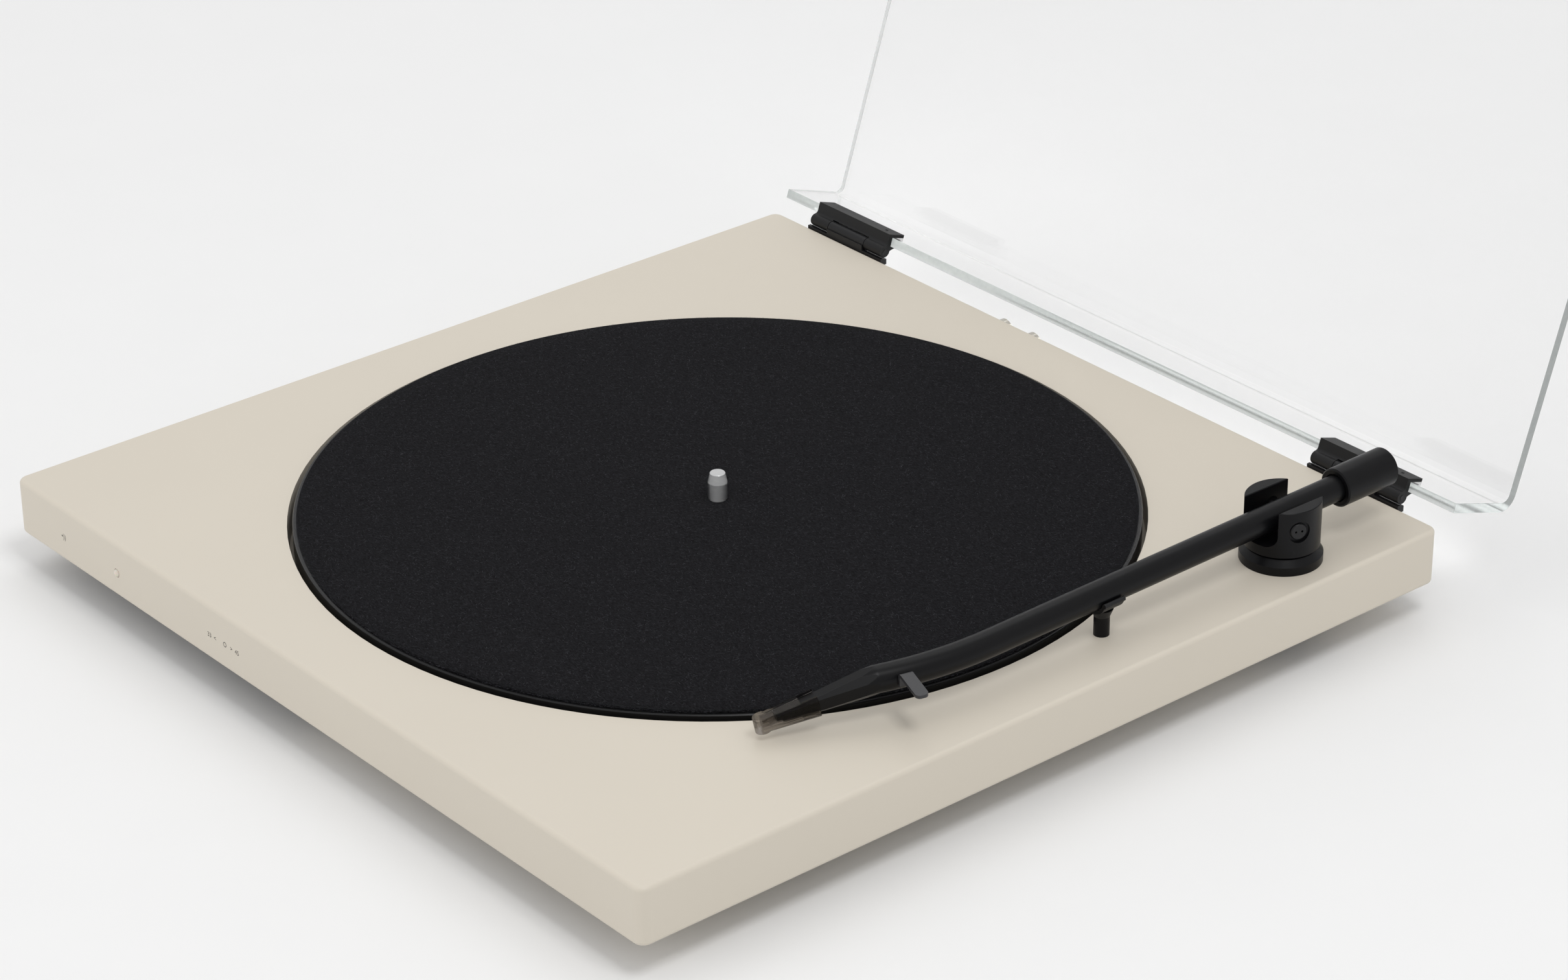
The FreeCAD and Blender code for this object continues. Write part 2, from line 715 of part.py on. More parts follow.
def make_dc_inlet():
    outer = rear_y + jack_plate_thickness + 0.6
    body = rod(dc_radius, vec(dc_x, jack_y_high - 4.0, jack_mid_z), Y, outer - jack_y_high + 4.0)
    body = body.cut(rod(2.8, vec(dc_x, outer - 9.0, jack_mid_z), Y, 10))
    return body.fuse(rod(1.0, vec(dc_x, outer - 9.0, jack_mid_z), Y, 8))


def make_jack_board():
    half_h = jack_plate_height / 2
    high = pocket_top_z
    return box(jack_x_low + 4, jack_x_high - 4, jack_y_high - 4.0 - board_thickness, jack_y_high - 4.0,
               jack_mid_z - half_h, high)


def rear_screw(x, z, seat_y):
    head = rod(small_head_radius, vec(x, seat_y, z), Y, small_head_height)
    slot = box(x - 3, x + 3, seat_y + small_head_height - 0.6, seat_y + small_head_height + 1, z - 0.3, z + 0.3)
    return head.cut(slot).fuse(rod(small_screw_radius, vec(x, seat_y, z), -Y, small_screw_length))


# ---------------------------------------------------------------- arm base and yoke
def at_pivot(height=0.0, yaw=arm_yaw):
    return FreeCAD.Placement(vec(pivot_x, pivot_y, deck_z + height), FreeCAD.Rotation(Z, yaw))


stem_low = under_z + 1.0 - deck_z      # below the deck, in the pivot's own frame
upper_bearing_low = 0.4
lower_bearing_low = stem_low + 1.6


def make_arm_base():
    body = turned([(0, stem_low), (stem_radius, stem_low), (stem_radius, 0), (base_radius, 0),
                   (base_radius, base_side), (base_top_radius, base_height), (0, base_height)])
    body = body.cut(cylinder(pivot_shaft_radius + 1.2, stem_low - 1, base_height + 1))
    pocket = swing_bearing_radius + fit_gap
    body = body.cut(cylinder(pocket, upper_bearing_low, base_height + 1))
    body = body.cut(cylinder(pocket, stem_low - 1, lower_bearing_low + swing_bearing_height))
    return moved(body, at_pivot())


def make_swing_bearing(low):
    body = ring(swing_bearing_radius, pivot_shaft_radius + running_gap, low, low + swing_bearing_height)
    return moved(body, at_pivot())


def make_base_nut():
    points = []
    for index in range(6):
        angle = math.radians(60 * index)
        points.append(vec(base_nut_radius * math.cos(angle), base_nut_radius * math.sin(angle), 0))
    top = 8.0 - plinth_thickness
    body = prism(points, vec(0, 0, base_nut_height))
    body.translate(vec(0, 0, top - base_nut_height))
    body = body.cut(cylinder(stem_radius + fit_gap, top - base_nut_height - 1, top + 1))
    return moved(body, at_pivot())


def make_yoke():
    low = base_height + base_groove
    body = cylinder(yoke_radius, low, yoke_top)
    body = body.cut(cylinder(pivot_shaft_radius + fit_gap, low - 1, slot_bottom - 1.0))
    half = slot_width / 2
    reach = yoke_radius + 1
    slot = box(-half, half, -reach, reach, slot_bottom, yoke_top + 1)
    low_edges = []
    for edge in slot.Edges:
        lies_low = abs(edge.BoundBox.ZMax - slot_bottom) < 1e-6
        if lies_low and edge.BoundBox.YLength > reach:
            low_edges.append(edge)
    body = body.cut(slot.makeFillet(slot_corner, low_edges))
    turn = FreeCAD.Placement(vec(0, 0, bearing_height), FreeCAD.Rotation(Z, -bend_angle))
    for side in (-1, 1):
        out = vec(side, 0, 0)
        body = body.cut(moved(rod(pivot_screw_radius + fit_gap, vec(0, 0, 0), out, reach), turn))
        face = vec(side * (yoke_radius - pivot_recess), 0, 0)
        body = body.cut(moved(rod(pivot_recess_radius, face, out, 3), turn))
    ear_tops = [edge for edge in body.Edges if edge.BoundBox.ZMin > yoke_top - 1e-6]
    body = body.makeChamfer(yoke_bevel, ear_tops)
    return moved(body, at_pivot())


def make_yoke_shaft():
    low = lower_bearing_low - 1.4
    return moved(cylinder(pivot_shaft_radius, low, slot_bottom - 1.0), at_pivot())


def make_shaft_clip():
    high = lower_bearing_low - moving_gap
    return moved(ring(pivot_shaft_radius + 1.4, pivot_shaft_radius + fit_gap, high - 0.8, high), at_pivot())


def lift_place():
    """The lift axis along X: square to the head, so turned from the tube by the bend."""
    return at_pivot(bearing_height).multiply(FreeCAD.Placement(vec(0, 0, 0), FreeCAD.Rotation(Z, -bend_angle)))


def make_pivot_screw(side):
    """Bearing screw in one ear, with a plain pin that the arm rocks on."""
    turn = math.radians(bend_angle)
    inner = (slot_width / 2 + pivot_screw_radius * math.sin(turn)) / math.cos(turn)
    outer = yoke_radius - 0.5
    body = rod(pivot_screw_radius, vec(side * inner, 0, 0), vec(side, 0, 0), outer - inner)
    edge_ring = []
    for edge in body.Edges:
        if abs(abs(edge.BoundBox.XMin) - outer) < 1e-6 and edge.BoundBox.XLength < 1e-6:
            edge_ring.append(edge)
    body = body.makeChamfer(0.35, edge_ring)
    for step in (-1.15, 1.15):
        body = body.cut(rod(0.42, vec(side * (outer - 1.0), step, 0), vec(side, 0, 0), 3))
    pin = rod(pivot_pin_radius, vec(side * (arm_radius - 1.0), 0, 0), vec(side, 0, 0), inner - arm_radius + 1.2)
    return moved(body.fuse(pin), lift_place())


# ---------------------------------------------------------------- arm
def arm_place():
    """The arm's own frame: tube along Y at the height of the lift axis, head end towards -Y."""
    place = at_pivot(bearing_height)
    return place.multiply(FreeCAD.Placement(vec(0, 0, 0), FreeCAD.Rotation(X, arm_pitch)))


def arm_path(front, rear):
    """Centre line from the rear end to the wedge: a straight run, then a tangent arc."""
    start = vec(0, rear, arm_above_bearing)
    turn = vec(0, -front, arm_above_bearing)
    middle, end = bend_point(0.5, front), bend_point(1.0, front)
    return Part.Wire([Part.LineSegment(start, turn).toShape(), Part.Arc(turn, middle, end).toShape()])


def bend_point(share, front=arm_front):
    angle = math.radians(bend_angle * share)
    return vec(-bend_radius * (1 - math.cos(angle)), -front - bend_radius * math.sin(angle), arm_above_bearing)


def bar(radius, rear):
    path = arm_path(arm_front, rear)
    circle = Part.makeCircle(radius, vec(0, rear, arm_above_bearing), Y)
    return path.makePipeShell([Part.Wire([circle])], True, False)


pivot_bush_radius = pivot_pin_radius + running_gap + 1.0
pivot_bush_low = arm_radius - 1.4
pivot_bush_high = arm_radius + 0.4


def make_arm_tube():
    body = bar(arm_radius, arm_rear)
    body = moved(body.cut(bar(arm_radius - arm_wall, arm_rear)), arm_place())
    for side in (-1, 1):
        hole = rod(pivot_bush_radius + fit_gap, vec(0, 0, 0), vec(side, 0, 0), arm_radius + 2)
        body = body.cut(moved(hole, lift_place()))
    return body


def make_pivot_bush(side):
    out = vec(side, 0, 0)
    body = rod(pivot_bush_radius, vec(side * pivot_bush_low, 0, 0), out, pivot_bush_high - pivot_bush_low)
    body = body.cut(rod(pivot_pin_radius + running_gap, vec(0, 0, 0), out, arm_radius + 2))
    return moved(body, lift_place())


def tube_end_place():
    """End of the bent tube, in the arm's frame, with the tube's line along Y."""
    return FreeCAD.Placement(bend_point(1.0), FreeCAD.Rotation(Z, -bend_angle))


def head_place():
    """The wedge's own frame: start of the wedge at the origin, tip towards -Y."""
    drop = FreeCAD.Placement(vec(0, 0, 0), FreeCAD.Rotation(X, head_drop))
    return arm_place().multiply(tube_end_place()).multiply(drop)


def bevelled_section(y, width, height, bevel, centre_z=0.0):
    w, h = width / 2, height / 2
    outline = [(-w, -h + bevel), (-w + bevel, -h), (w - bevel, -h), (w, -h + bevel),
               (w, h - bevel), (w - bevel, h), (-w + bevel, h), (-w, h - bevel)]
    points = [vec(x, y, centre_z + z) for x, z in outline]
    return Part.makePolygon(points + [points[0]])


def wedge_size(distance):
    """Width, height and bevel of the wedge: tangent to the bar at its start, slimmer ahead."""
    if distance < head_mid:
        share = distance / head_mid
        start_bevel = 2 * arm_radius - arm_radius * math.sqrt(2)
        width = 2 * arm_radius + (head_mid_width - 2 * arm_radius) * share
        height = 2 * arm_radius + (head_mid_height - 2 * arm_radius) * share
        bevel = start_bevel + (head_mid_bevel - start_bevel) * share
    else:
        share = (distance - head_mid) / (head_length - head_mid)
        width = head_mid_width + (head_tip_width - head_mid_width) * share
        height = head_mid_height + (head_tip_height - head_mid_height) * share
        bevel = head_mid_bevel + (head_tip_bevel - head_mid_bevel) * share
    return width, height, bevel


def tip_centre():
    """The wedge's chin rises: its tip is centred above the line by this much."""
    return (head_mid_height - head_tip_height) / 2 - head_top_fall


def make_headshell():
    """Facets cut on the bar's rounded end, so that they run out on the round in curves."""
    rear = bevelled_section(head_plug, *wedge_size(-head_plug))
    middle = bevelled_section(-head_mid, *wedge_size(head_mid))
    tip = bevelled_section(-head_length, *wedge_size(head_length), tip_centre())
    facets = Part.makeLoft([rear, middle], True, True)
    round_end = rod(arm_radius, vec(0, 0, 0), -Y, head_mid)
    round_end = round_end.fuse(Part.makeSphere(arm_radius, vec(0, 0, 0)))
    body = round_end.common(facets).fuse(Part.makeLoft([middle, tip], True, True))
    body = moved(body, head_place())
    behind = rod(2 * arm_radius, vec(0, 0, 0), Y, 2 * arm_radius)
    behind = moved(behind, arm_place().multiply(tube_end_place()))
    plug = bar(arm_radius - arm_wall - fit_gap, arm_rear)
    near_end = Part.makeSphere(head_plug, bend_point(1.0))
    plug = moved(plug.common(near_end), arm_place())
    return body.cut(behind).fuse(plug).removeSplitter()


cartridge_rear = head_mid + 5.0
cartridge_front = head_length - 2.0


def wedge_underside(distance):
    """Height of the wedge's lower face, in the wedge's frame."""
    share = (distance - head_mid) / (head_length - head_mid)
    low_mid = -head_mid_height / 2
    low_tip = tip_centre() - head_tip_height / 2
    return low_mid + (low_tip - low_mid) * share


def make_cartridge():
    """Small pick-up body filling the wedge's chin."""
    front_low = -cartridge_front_depth
    outline = [vec(0, -cartridge_rear, wedge_underside(cartridge_rear)),
               vec(0, -cartridge_rear - 1.5, -cartridge_depth),
               vec(0, -cartridge_front + 3.0, (front_low - cartridge_depth) / 2),
               vec(0, -cartridge_front, front_low),
               vec(0, -cartridge_front, wedge_underside(cartridge_front))]
    half = head_tip_width / 2 - 0.3
    body = prism(outline, vec(2 * half, 0, 0))
    body.translate(vec(-half, 0, 0))
    return moved(body, head_place())


def make_stylus():
    """Cantilever tube from the cartridge's front, with the diamond at its end."""
    start = vec(0, -cartridge_front, 0.3 - cartridge_front_depth)
    lean = vec(0, -math.cos(math.radians(10)), -math.sin(math.radians(10)))
    body = rod(0.3, start, lean, 4.2)
    tip = start + lean * 3.9
    diamond = Part.makeCone(0.25, 0.04, 0.75, tip, vec(0, 0, -1))
    return moved(body.fuse(diamond), head_place())


def guard_loft(grow, y_rear, y_nose):
    width, height, bevel = wedge_size(guard_start)
    rear_w, rear_h = width + 2 * grow, height + 2 * grow
    nose_w = guard_nose_width - 2 * (guard_slack + guard_wall) + 2 * grow
    nose_h = guard_nose_height - 2 * (guard_slack + guard_wall) + 2 * grow
    rear = bevelled_section(-y_rear, rear_w, rear_h, bevel)
    nose = bevelled_section(-y_nose, nose_w, nose_h, bevel)
    return Part.makeLoft([rear, nose], True, True)


def make_stylus_guard():
    outer = guard_loft(guard_slack + guard_wall, guard_start, guard_end - guard_nose_width / 2)
    nose = cylinder(guard_nose_width / 2, -guard_nose_height / 2, guard_nose_height / 2, 0,
                    -guard_end + guard_nose_width / 2)
    inner = guard_loft(guard_slack, guard_start - 0.01, guard_end - guard_nose_width / 2 + 0.2)
    window_width = head_mid_width / 2 - 0.6
    window = box(-window_width, window_width, -guard_start - guard_window, -guard_start + 1, 0, 8)
    slit = box(-guard_slit / 2, guard_slit / 2, -guard_end + 2.5, -guard_start - guard_window, -8, 0)
    body = outer.fuse(nose).removeSplitter().cut(inner).cut(window).cut(slit)
    return moved(body, head_place())


def make_finger_lift():
    """Flat strip: up the side of the bar, round a bend, then outwards and slightly down."""
    side = arm_radius - 0.1
    half = lift_width / 2
    inner = lift_bend_radius - lift_thickness
    middle = vec(side + lift_bend_radius, 0, lift_rise - lift_bend_radius)
    droop = math.radians(lift_droop)
    upright = vec(math.sin(droop), 0, math.cos(droop))
    along = vec(lift_reach * math.cos(droop), 0, -lift_reach * math.sin(droop))
    halfway = math.radians(135 - lift_droop / 2)
    slant = vec(math.cos(halfway), 0, math.sin(halfway))
    outer_start, outer_end = middle - X * lift_bend_radius, middle + upright * lift_bend_radius
    inner_start, inner_end = middle - X * inner, middle + upright * inner
    foot_outer, foot_inner = vec(side, 0, lift_foot), vec(side + lift_thickness, 0, lift_foot)
    edges = [Part.LineSegment(foot_outer, outer_start).toShape(),
             Part.Arc(outer_start, middle + slant * lift_bend_radius, outer_end).toShape(),
             Part.LineSegment(outer_end, outer_end + along).toShape(),
             Part.LineSegment(outer_end + along, inner_end + along).toShape(),
             Part.LineSegment(inner_end + along, inner_end).toShape(),
             Part.Arc(inner_end, middle + slant * inner, inner_start).toShape(),
             Part.LineSegment(inner_start, foot_inner).toShape(),
             Part.LineSegment(foot_inner, foot_outer).toShape()]
    body = Part.Face(Part.Wire(edges)).extrude(Y * lift_width)
    body.translate(vec(0, -half, 0))
    body = body.common(rounded_box(side - lift_reach, side + lift_reach, -half, half,
                                   lift_foot - 1, lift_rise + 1, lift_corner))
    share = 1.0 - math.degrees(lift_back / bend_radius) / bend_angle
    spot = bend_point(share)
    place = arm_place().multiply(FreeCAD.Placement(spot, FreeCAD.Rotation(Z, -bend_angle * share)))
    body = moved(body, place)
    return body.cut(moved(bar(arm_radius, arm_rear), arm_place()))


def make_counterweight():
    rear = weight_start + weight_length
    profile = [(0, rear), (weight_radius - weight_bevel, rear), (weight_radius, rear - weight_bevel),
               (weight_radius, weight_start + weight_bevel), (weight_radius - weight_bevel, weight_start),
               (0, weight_start)]
    body = turned(profile)
    body = body.cut(cylinder(arm_radius + running_gap, weight_start - 1, rear - weight_end_wall))
    groove = ring(arm_radius + ring_depth, arm_radius - 0.5, ring_low, ring_low + ring_width)
    mouth = cylinder(arm_radius + weight_mouth_gap, weight_start - 1, weight_start + weight_mouth_depth)
    body = body.cut(groove).cut(mouth)
    return moved(body, weight_place())


def weight_place():
    lie_down = FreeCAD.Placement(vec(0, 0, arm_above_bearing), FreeCAD.Rotation(X, -90))
    return arm_place().multiply(lie_down)


def make_weight_ring():
    """Rubber ring that grips the tube."""
    outer = arm_radius + ring_depth - fit_gap
    low, high = ring_low + fit_gap, ring_low + ring_width - fit_gap
    return moved(ring(outer, arm_radius + running_gap, low, high), weight_place())


def make_arm_end_cap():
    """Plug in the tube's rear end."""
    body = cylinder(arm_radius - arm_wall - fit_gap, arm_rear - 4.0, arm_rear - 0.2)
    return moved(body, weight_place())


# ---------------------------------------------------------------- arm rest
def rest_frame():
    """Arm frame moved to the post, origin on the tube's axis."""
    along = rest_reach / math.cos(math.radians(arm_pitch))
    return arm_place().multiply(FreeCAD.Placement(vec(0, -along, arm_above_bearing), FreeCAD.Rotation()))


rest_inner = arm_radius + moving_gap
rest_outer = rest_inner + rest_clip_wall
rest_drop = rest_reach * math.tan(math.radians(arm_pitch))
rest_axis_z = deck_z + bearing_height + arm_above_bearing / math.cos(math.radians(arm_pitch)) - rest_drop
post_top_z = rest_axis_z - rest_outer - rest_flare_height


def make_rest_post():
    body = cylinder(rest_post_radius, deck_z, post_top_z, rest_x, rest_y)
    tenon = rest_post_radius - 1.2
    body = body.fuse(cylinder(tenon, deck_z - 8.0, deck_z, rest_x, rest_y))
    return body.fuse(cylinder(tenon, post_top_z, post_top_z + 1.6, rest_x, rest_y))


def make_rest_clip():
    """Cradle with a wall on the outside only, so that the arm can swing off it inwards."""
    half = rest_clip_length / 2
    sweep = math.radians(rest_clip_angle)
    inner_end = vec(rest_inner * math.sin(sweep), -half, -rest_inner * math.cos(sweep))
    outer_end = vec(rest_outer * math.sin(sweep), -half, -rest_outer * math.cos(sweep))
    inner_mid = vec(rest_inner * math.sin(sweep / 2), -half, -rest_inner * math.cos(sweep / 2))
    outer_mid = vec(rest_outer * math.sin(sweep / 2), -half, -rest_outer * math.cos(sweep / 2))
    tab = 4.0
    corners = [vec(-tab, -half, -rest_inner), vec(0, -half, -rest_inner),
               vec(0, -half, -rest_outer), vec(-tab, -half, -rest_outer)]
    edges = [Part.LineSegment(corners[0], corners[1]).toShape(),
             Part.Arc(corners[1], inner_mid, inner_end).toShape(),
             Part.LineSegment(inner_end, outer_end).toShape(),
             Part.Arc(outer_end, outer_mid, corners[2]).toShape(),
             Part.LineSegment(corners[2], corners[3]).toShape(),
             Part.LineSegment(corners[3], corners[0]).toShape()]
    cradle = Part.Face(Part.Wire(edges)).extrude(vec(0, rest_clip_length, 0))
    lip = rod(rest_clip_wall / 2 + 0.25, (inner_end + outer_end) * 0.5 + vec(0.25, 0, 0), Y, rest_clip_length)
    cradle = moved(cradle.fuse(lip), rest_frame())
    cone = Part.makeCone(rest_post_radius, rest_flare_radius, rest_flare_height + 0.5,
                         vec(rest_x, rest_y, post_top_z), Z)
    room = moved(rod(rest_inner, vec(0, -20, 0), Y, 40), rest_frame())
    body = cradle.fuse(cone.cut(room))
    return body.cut(cylinder(rest_post_radius - 1.2 + fit_gap, post_top_z - 1, post_top_z + 1.7, rest_x, rest_y))


# ---------------------------------------------------------------- hinges and lid
def knuckle(radius, x_low, x_high):
    return rod(radius, vec(x_low, hinge_y, hinge_z), X, x_high - x_low)


middle_half = hinge_width * knuckle_share / 2


def make_hinge_plate(centre):
    half = hinge_width / 2 + hinge_plate_extra
    body = box(centre - half, centre + half, rear_y, rear_y + hinge_plate_thickness,
               deck_z - hinge_plate_height, deck_z + hinge_plate_top)
    low, high = centre - middle_half, centre + middle_half
    bracket = box(low, high, rear_y, hinge_y, deck_z - 4.0, hinge_z)
    cradle = box(centre - half, centre + half, rear_y, hinge_y, deck_z - hinge_cradle, hinge_z)
    cradle = cradle.cut(knuckle(hinge_knuckle_radius + moving_gap, centre - half - 1, centre + half + 1))
    cradle = cradle.common(box(centre - half, centre + half, rear_y, hinge_y,
                               deck_z - hinge_cradle, deck_z + hinge_plate_top))
    body = body.fuse(cradle).fuse(bracket).fuse(knuckle(hinge_knuckle_radius, low, high))
    ramp = [vec(low, hinge_y, deck_z - 4.0), vec(low, hinge_y - 2.0, deck_z - 4.1), vec(low, hinge_y, deck_z - 2.0)]
    body = body.cut(prism(ramp, vec(high - low, 0, 0)))
    body = body.cut(knuckle(hinge_pin_radius + fit_gap, low - 1, high + 1))
    for side in (-1, 1):
        start = vec(centre + side * hinge_width / 4, rear_y - 1, hinge_screw_z)
        body = body.cut(rod(small_screw_radius + fit_gap, start, Y, 6))
    return body


def make_hinge_pin(centre):
    half = hinge_width / 2
    return knuckle(hinge_pin_radius, centre - half - 0.1, centre + half + 0.1)


def lid_place():
    """The lid's frame at rest: pin at the origin, Y along the flange, Z up the sheet."""
    lean = -(lid_open_angle - 90.0)
    return FreeCAD.Placement(vec(0, hinge_y, hinge_z), FreeCAD.Rotation(X, lean))


flange_start = clip_web_start + clip_web + 0.05
channel_low = clip_lower_thickness + 0.55
channel_high = channel_low + lid_thickness + 0.1
clip_top = channel_high + clip_jaw
lid_inner = lid_clear_height
lid_outer = lid_inner + lid_thickness
lid_length = plinth_depth + hinge_axis_back + lid_front_overhang


def clip_profile():
    """Section of the clip, as a face: a web with two jaws, running down into the round knuckle."""
    radius, blend = hinge_knuckle_radius, clip_blend
    blend_y = clip_web_start - blend
    blend_z = math.sqrt((radius + blend) ** 2 - blend_y ** 2)
    share = radius / (radius + blend)
    front = vec(0, blend_y * share, blend_z * share)
    turn = math.radians(45)
    blend_mid = vec(0, clip_web_start - blend * (1 - math.cos(turn / 2)), blend_z - blend * math.sin(turn / 2))
    rear_angle = math.radians(clip_rear_angle)
    rear = vec(0, radius * math.cos(rear_angle), radius * math.sin(rear_angle))
    below = vec(0, 0, -radius)
    web_end = clip_web_start + clip_web
    tip = vec(0, clip_lower_reach, channel_low - clip_point)
    sag = vec(0, (rear.y + tip.y) / 2 - 0.4, (rear.z + tip.z) / 2 + 0.35)
    corners = [tip, vec(0, clip_lower_reach, channel_low), vec(0, web_end, channel_low),
               vec(0, web_end, channel_high), vec(0, clip_upper_reach, channel_high),
               vec(0, clip_upper_reach, clip_top), vec(0, clip_web_start, clip_top),
               vec(0, clip_web_start, blend_z)]
    edges = [Part.LineSegment(a, b).toShape() for a, b in zip(corners, corners[1:])]
    edges.append(Part.Arc(corners[-1], blend_mid, front).toShape())
    edges.append(Part.Arc(front, below, rear).toShape())
    edges.append(Part.Arc(rear, sag, tip).toShape())
    return Part.Face(Part.Wire(edges))


def make_hinge_clip(centre):
    half = hinge_width / 2
    left = centre - half
    body = clip_profile().extrude(vec(hinge_width, 0, 0))
    body.translate(vec(left, 0, 0))
    notch_radius = hinge_knuckle_radius + moving_gap + 0.1
    low = centre - middle_half - moving_gap
    width = 2 * (middle_half + moving_gap)
    body = body.cut(rod(notch_radius, vec(low, 0, 0), X, width))
    body = body.cut(rod(hinge_pin_radius + running_gap, vec(left - 1, 0, 0), X, hinge_width + 2))
    pip = rod(0.6, vec(centre + half - 6.0, (clip_web_start + clip_upper_reach) / 2, clip_top - 0.1), Z, 0.35)
    return moved(body.fuse(pip), lid_place())


def make_lid():
    """One bent sheet: a short flange held by the clips, and the cover sheet."""
    half = lid_width / 2
    low, high = channel_low + 0.05, channel_low + 0.05 + lid_thickness
    outer_bend = lid_bend + lid_thickness
    diagonal = math.sqrt(0.5)
    centre_y, centre_z = lid_outer - outer_bend, low + outer_bend
    points = [vec(-half, flange_start, low), vec(-half, centre_y, low), vec(-half, lid_outer, centre_z),
              vec(-half, lid_outer, lid_length), vec(-half, lid_inner, lid_length),
              vec(-half, lid_inner, centre_z), vec(-half, centre_y, high), vec(-half, flange_start, high)]
    outer_mid = vec(-half, centre_y + outer_bend * diagonal, centre_z - outer_bend * diagonal)
    inner_mid = vec(-half, centre_y + lid_bend * diagonal, centre_z - lid_bend * diagonal)
    edges = [Part.LineSegment(points[0], points[1]).toShape(),
             Part.Arc(points[1], outer_mid, points[2]).toShape(),
             Part.LineSegment(points[2], points[3]).toShape(),
             Part.LineSegment(points[3], points[4]).toShape(),
             Part.LineSegment(points[4], points[5]).toShape(),
             Part.Arc(points[5], inner_mid, points[6]).toShape(),
             Part.LineSegment(points[6], points[7]).toShape(),
             Part.LineSegment(points[7], points[0]).toShape()]
    body = Part.Face(Part.Wire(edges)).extrude(vec(lid_width, 0, 0))
    return moved(body, lid_place())


# ---------------------------------------------------------------- write the pieces
save("plinth", make_plinth())
save("bearing_housing", make_bearing_housing())
save("bearing_bush", make_bearing_bush())
save("thrust_ball", make_thrust_ball())
save("spindle_shaft", make_spindle_shaft())
save("sub_platter", make_sub_platter())
save("platter", make_platter())
save("felt_mat", make_mat())
save("drive_belt", make_belt())
save("motor_pulley", make_motor_pulley())
save("motor_shaft", make_motor_shaft())
save("motor", make_motor())
save("motor_plate", make_motor_plate())
recess_screws = [screw_down(x, y, flange_top_z) for x, y in housing_screws]
recess_screws += [screw_down(x, y, recess_z + motor_plate_thickness) for x, y in motor_screws]
save("recess_screws", *recess_screws)
save("motor_cover", make_motor_cover())
for place, x, y in foot_places:
    save("foot_" + place, make_foot(x, y))
save("foot_pads", *[make_foot_pad(x, y) for _, x, y in foot_places])
under_screws = [screw_up(x, y, under_z - motor_cover_wall) for x, y in motor_cover_screws]
under_screws += [screw_up(x, y, under_z - 2.5) for _, x, y in foot_places]
under_screws += [cover_screw(x, y) for x, y in control_cover_screws + jack_cover_screws]
save("underside_screws", *under_screws)
save("control_cover", make_control_cover())
save("jack_cover", make_jack_cover())
save("control_board", make_control_board())
save("speed_switch", make_speed_switch())
save("speed_lever", make_speed_lever())
save("pair_switch", make_pair_switch())
save("pair_button", make_pair_button())
save("status_led", make_status_led())
save("wireless_module", make_wireless_module())
save("jack_plate", make_jack_plate())
save("rca_jacks", make_rca_jack(0), make_rca_jack(1))
save("ground_post", make_ground_post())
save("dc_inlet", make_dc_inlet())
save("jack_board", make_jack_board())
save("arm_base", make_arm_base())
save("swing_bearings", make_swing_bearing(upper_bearing_low), make_swing_bearing(lower_bearing_low))
save("arm_base_nut", make_base_nut())
save("yoke", make_yoke())
save("yoke_shaft", make_yoke_shaft())
save("shaft_clip", make_shaft_clip())
save("pivot_screws", make_pivot_screw(-1), make_pivot_screw(1))
save("arm_tube", make_arm_tube())
save("pivot_bushes", make_pivot_bush(-1), make_pivot_bush(1))
save("headshell", make_headshell())
save("cartridge", make_cartridge())
save("stylus", make_stylus())
save("stylus_guard", make_stylus_guard())
save("finger_lift", make_finger_lift())
save("counterweight", make_counterweight())
save("weight_ring", make_weight_ring())
save("arm_end_cap", make_arm_end_cap())
save("rest_post", make_rest_post())
save("rest_clip", make_rest_clip())
save("hinge_plates", *[make_hinge_plate(x) for x in hinge_places])
save("hinge_pins", *[make_hinge_pin(x) for x in hinge_places])
save("hinge_clips", *[make_hinge_clip(x) for x in hinge_places])
rear_screws = []
for side in (-1, 1):
    jack_screw_x = jack_centre_x + side * (jack_plate_width / 2 - 2.6)
    rear_screws.append(rear_screw(jack_screw_x, jack_mid_z, rear_y + jack_plate_thickness))
    for centre in hinge_places:
        hinge_screw_x = centre + side * hinge_width / 4
        rear_screws.append(rear_screw(hinge_screw_x, hinge_screw_z, rear_y + hinge_plate_thickness))
save("rear_screws", *rear_screws)
save("lid", make_lid())
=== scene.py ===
import json
import math
import random

import bpy
from mathutils import Matrix, Vector

